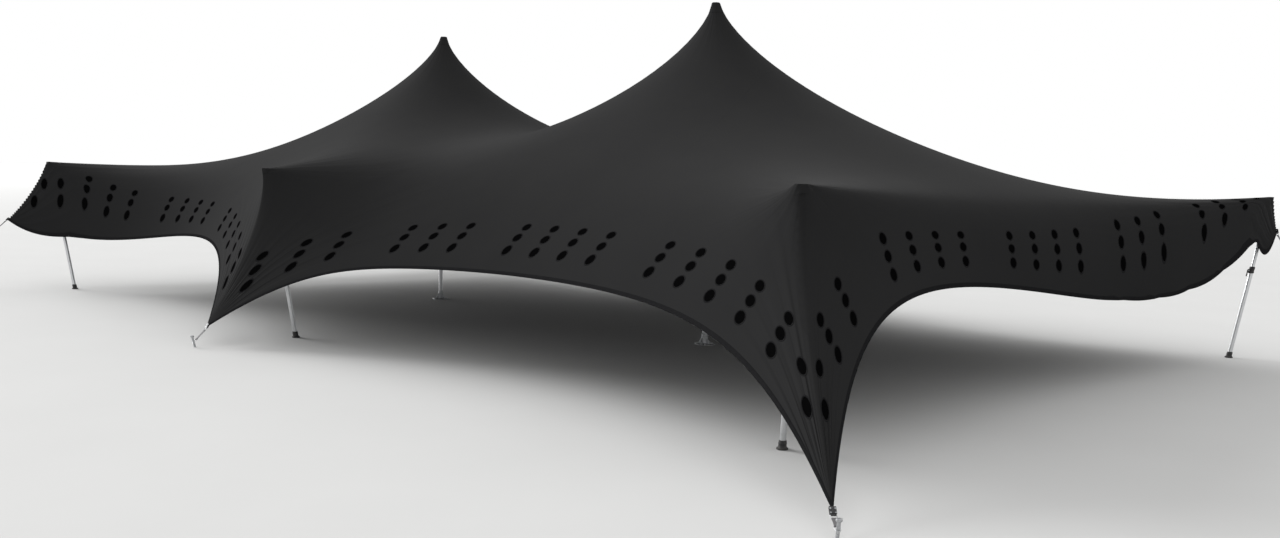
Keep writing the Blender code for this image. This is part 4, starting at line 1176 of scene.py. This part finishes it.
def buildMast(side, mast):
    s = mastParts
    headTop = mast["place"][2] - s["headClear"]
    metal = tubeParts(s, headTop) + [turnPart(raised(s["sleeve"], s["joinAt"]), aluminium, s["sides"])]
    steel = [turnPart(s["plate"], zinc, 48), turnPart(s["socket"], zinc, s["sides"])]
    for k in range(s["bolts"]):
        a = math.pi / 4 + 2 * math.pi * k / s["bolts"]
        place = (s["boltRing"] * math.cos(a), s["boltRing"] * math.sin(a), s["plateTop"])
        steel += boltPart(place, (0, 0, 1), s["boltSize"], zinc)
    # Welded ribs between plate and socket: a block whose outer top edge is drawn in
    reach, tall = s["rib"][0], s["rib"][2]
    for k in range(s["ribs"]):
        deselectAll()
        bpy.ops.mesh.primitive_cube_add(size=1)
        rib = bpy.context.object
        rib.scale = s["rib"]
        bpy.ops.object.transform_apply(location=False, rotation=False, scale=True)
        for vert in rib.data.vertices:
            if vert.co.x > 0 and vert.co.z > 0:
                vert.co.x -= reach * s["ribDrawnIn"]
        rib.location = (s["ribFrom"][0] + reach / 2, 0, s["ribFrom"][1] + tall / 2)
        bpy.ops.object.transform_apply(location=True, rotation=False, scale=False)
        rib.rotation_euler = (0, 0, 2 * math.pi * k / s["ribs"])
        steel.append(finishPart(rib, zinc))
    # Pins through the socket and the sleeve, each with its head and ring
    for z, out in s["pins"]:
        steel.append(rodPart((-out - 0.014, 0, z), (out + 0.012, 0, z), s["pinRadius"], zinc))
        steel.append(rodPart((-out - 0.018, 0, z), (-out - 0.012, 0, z), s["pinHead"], zinc))
        ring = [(out + 0.008, *place) for place in roundPoints(0, z - 0.014, s["pinRing"], s["ringSides"])]
        steel.append(wirePart(ring, s["ringWire"], zinc))
    head = turnPart(raised(s["head"], headTop), rubber, s["sides"])
    tube, base = joinParts(metal, "mastTube_" + side), joinParts(steel, "mastFoot_" + side)
    head = joinParts([head], "mastHead_" + side)
    for obj in (tube, base, head):
        leanPart(obj, mast["place"])
    dress(tube, "pole_aluminium", "mast_" + side)
    dress(base, "galvanised_steel")
    dress(head)


for side, anchor in anchors.items():
    buildSidePole(side, anchor)
for side, mast in masts.items():
    buildMast(side, mast)
print("poles and masts made")

# Straps: a clamp on the fabric's tip, a ring, webbing sewn round it and round the stake's ring
rigging = {
    "lowOut": 0.16, "highOut": 1.30, "lean": 15.0, "stakeRadius": 0.014, "heldAt": 0.070,
    "width": webbingLook["width"], "thick": 0.0022, "wrap": 0.0050, "overlap": 0.13, "closes": 0.035,
    "clampIn": 0.046, "clampOut": 0.016, "clampLies": 0.07, "plateThick": 0.004, "plateWide": 0.052,
    "plateBevel": 0.0015, "boltSize": 0.0065, "boltsAt": (-0.62, 0.45), "boltsAside": 0.34,
    "lug": (0.020, 0.8, 0.006), "lugOut": 0.004, "bar": 0.0032, "ringOut": 0.034, "ringWider": 0.006,
    "ringRound": 0.008, "stakeGap": 0.030, "stakeBend": 0.42,
    "stake": ((0.0138, 0.0), (0.0140, 0.002), (0.0140, 0.126), (0.0160, 0.134), (0.0225, 0.138),
              (0.0238, 0.143), (0.0238, 0.151), (0.0222, 0.157), (0.0150, 0.160)),
}
# The ratchet on a long strap; sizes and places along it as shares of its length
ratchetParts = {
    "onlyFrom": 0.8, "at": 0.62, "long": 0.17, "wider": 0.003,
    "cheek": (0.62, 0.003, 0.026), "cheekAt": (0.31, 0.0, 0.003),
    "arm": (0.80, 0.003, 0.018), "armAt": (0.56, 0.0035, 0.012),
    "spoolAt": (0.50, 0.006), "flange": 0.013, "spool": 0.0085, "pivotAt": (0.06, 0.002), "pivot": 0.0045,
    "handle": (0.26, 0.004, 0.003), "handleAt": (0.80, 0.018),
    "grip": (0.026, 0.006, 0.012), "gripAt": (0.93, 0.014), "wound": (0.0095, 0.0140),
}


def sewnWebbing(start, end, across, through):
    # One strip from end to end, turned round a bar at both and sewn back on itself
    s = rigging
    along, length = (end - start).normalized(), (end - start).length
    r, touch, closes = s["wrap"], s["thick"] / 2 + 0.0002, s["closes"]
    overlap = min(s["overlap"], length * 0.46)
    turned = [(a, -touch) for a in np.linspace(overlap, closes, 6)] + [(closes / 2, -(touch + r) / 2)]
    turned += [(r * math.cos(t), r * math.sin(t)) for t in np.linspace(-math.pi / 2, -3 * math.pi / 2, 9)]
    turned.append((closes / 2, (touch + r) / 2))
    route = turned + [(a, touch) for a in np.linspace(closes, length - closes, max(4, int(length / 0.04)))]
    route += [(length - a, t) for a, t in reversed(turned)]
    points, uvs, gone = [], [], 0.0
    for k, (a, t) in enumerate(route):
        back, on = route[max(k - 1, 0)], route[min(k + 1, len(route) - 1)]
        way = Vector((on[0] - back[0], on[1] - back[1])).normalized()
        gone += math.hypot(a - back[0], t - back[1])
        for side, high in ((1, 1), (-1, 1), (-1, -1), (1, -1)):
            half = high * s["thick"] / 2
            points.append(start + along * (a - way.y * half) + through * (t + way.x * half)
                          + across * (side * s["width"] / 2))
            uvs.append((gone, side * s["width"] / 2))
    last = len(points) - 4
    faces = skin(0, len(route), 4) + [(3, 2, 1, 0), (last, last + 1, last + 2, last + 3)]
    return finishPart(meshPiece("webbing", points, faces, "webbingLength", uvs), webbing, 50)


def placePart(obj, origin, along, across, through):
    # From the part's own X along, Y across, Z through, to its place on the strap
    turn = Matrix((along, across, through)).transposed().to_4x4()
    obj.data.transform(Matrix.Translation(origin) @ turn)
    obj.data.update()


def buildClamp(side, tip, along, across, through):
    # Two plates with four bolts, drawn together over the folded tip, and a lug with its ring
    s = rigging
    inner, outer, wide, thick = s["clampIn"], s["clampOut"], s["plateWide"], s["plateThick"]
    half, bevel = hemCut["roll"], s["plateBevel"]
    steel = []
    for way in (1, -1):
        place = ((outer - inner) / 2, 0, way * (half + thick / 2))
        steel.append(boxPart((inner + outer, wide, thick), place, coating, bevel))
        for a in (s["boltsAt"][0] * inner, s["boltsAt"][1] * outer):
            for b in (-s["boltsAside"] * wide, s["boltsAside"] * wide):
                steel += boltPart((a, b, way * (half + thick)), (0, 0, way), s["boltSize"], zinc)
    long, share, high = s["lug"]
    steel.append(boxPart((long, wide * share, high), (outer + s["lugOut"], 0, 0), coating, bevel))
    w, r = s["width"] / 2 + s["ringWider"], s["ringRound"]
    near, far = outer + s["lugOut"] + r, outer + s["ringOut"] - r
    ring = []
    for cx, cy, first in ((far, w - r, 0), (near, w - r, 1), (near, r - w, 2), (far, r - w, 3)):
        for a in np.linspace(first * math.pi / 2, (first + 1) * math.pi / 2, 5):
            ring.append((cx + r * math.cos(a), cy + r * math.sin(a), 0))
    steel.append(wirePart(ring, s["bar"], zinc))
    obj = joinParts(steel, "clamp_" + side)
    placePart(obj, tip, along, across, through)
    dress(obj, "galvanised_steel")


def buildStrap(side, anchor):
    s = rigging
    out, tip = Vector((*anchor["out"], 0)), Vector(anchor["tip"])
    lean = out * math.tan(math.radians(s["lean"]))
    foot = Vector((tip.x, tip.y, 0)) + out * (s["highOut"] if tip.z > 1 else s["lowOut"])
    held = foot + lean * s["heldAt"] + Vector((0, 0, s["heldAt"]))
    u, v = cutPlace(anchor["tipKnot"])
    along = (tip - Vector(onFabric(u - out.x * s["clampLies"], v - out.y * s["clampLies"]))).normalized()
    across = Vector((-out.y, out.x, 0))
    through = along.cross(across).normalized()
    if through.z < 0:
        across, through = -across, -through
    buildClamp(side, tip, along, across, through)
    # Ring round the stake: a straight bar for the webbing, bent round the shaft
    start = tip + along * (s["clampOut"] + s["ringOut"])
    along = (held - start).normalized()
    through = along.cross(across).normalized()
    gap, w = s["stakeGap"], s["width"] / 2 + s["ringWider"]
    end = held - along * (s["stakeRadius"] + gap)
    bend, most = s["stakeRadius"] + s["bar"] + 0.001, math.pi * s["stakeBend"]
    flat = [(0.0, 0.006 - w), (0.0, w - 0.006), (0.004, w)]
    flat += [(gap + s["stakeRadius"] + bend * math.cos(a), bend * math.sin(a))
             for a in np.linspace(most, -most, 12)]
    flat.append((0.004, -w))
    wire = wirePart([(a, b, 0) for a, b in flat], s["bar"], zinc)
    wire.name = "stakeRing_" + side
    placePart(wire, end, along, across, through)
    dress(wire, "galvanised_steel")
    web = sewnWebbing(start, end, across, through)
    web.name = "webbing_" + side
    dress(web, "strap_webbing", "strap_" + side)
    length = (end - start).length
    if length > ratchetParts["onlyFrom"]:
        buildRatchet(side, start + along * (length * ratchetParts["at"]), along, across, through)
    # The stake, leaning away from the tent
    stake = turnPart(s["stake"], zinc, 24)
    stake.name = "stake_" + side + "_steel"
    leanPart(stake, foot, lean)
    dress(stake, "galvanised_steel", "stake_" + side)


def buildRatchet(side, place, along, across, through):
    # Two cheeks and two arms, a slotted spool, a pivot and a folded handle
    s = ratchetParts
    long, half = s["long"], rigging["width"] / 2
    w = half + s["wider"]
    spoolX, spoolZ = long * s["spoolAt"][0], s["spoolAt"][1]
    pivotX, pivotZ = long * s["pivotAt"][0], s["pivotAt"][1]
    parts = []
    for way in (1, -1):
        for size, (share, aside, z) in ((s["cheek"], s["cheekAt"]), (s["arm"], s["armAt"])):
            middle = (long * share, way * (w + aside), z)
            parts.append(boxPart((long * size[0], *size[1:]), middle, zinc, 0.001))
        parts.append(rodPart((spoolX, way * (w + 0.006), spoolZ), (spoolX, way * (w - 0.001), spoolZ),
                             s["flange"], zinc, 18))
    parts.append(rodPart((spoolX, -w, spoolZ), (spoolX, w, spoolZ), s["spool"], zinc))
    parts.append(rodPart((pivotX, -w, pivotZ), (pivotX, w, pivotZ), s["pivot"], zinc))
    (share, wider, high), (at, z) = s["handle"], s["handleAt"]
    parts.append(boxPart((long * share, 2 * w + wider, high), (long * at, 0, z), zinc, 0.001))
    steel = joinParts(parts, "ratchet_" + side)
    (deep, wider, high), (at, z) = s["grip"], s["gripAt"]
    grip = boxPart((deep, 2 * w + wider, high), (long * at, 0, z), rubber, 0.004)
    # Webbing wound on the spool
    core, full = s["wound"]
    profile = [(core, 0.002 - half), (full, 0.003 - half), (full, half - 0.003), (core, half - 0.002)]
    wound = turnPart(profile, webbing)
    layer = wound.data.uv_layers.new(name="webbingLength")
    for loop in wound.data.loops:
        x, y, z = wound.data.vertices[loop.vertex_index].co
        layer.data[loop.index].uv = (math.atan2(y, x) * full, z)
    for vert in wound.data.vertices:
        x, y, z = vert.co
        vert.co = (spoolX + x, -z, spoolZ + y)      # turned on its side
    grip.name, wound.name = "ratchetGrip_" + side, "ratchetSpool_" + side
    for obj in (steel, grip, wound):
        placePart(obj, place, along, across, through)
        dress(obj, "galvanised_steel" if obj == steel else None)


for side, anchor in anchors.items():
    buildStrap(side, anchor)
print("straps and stakes made")
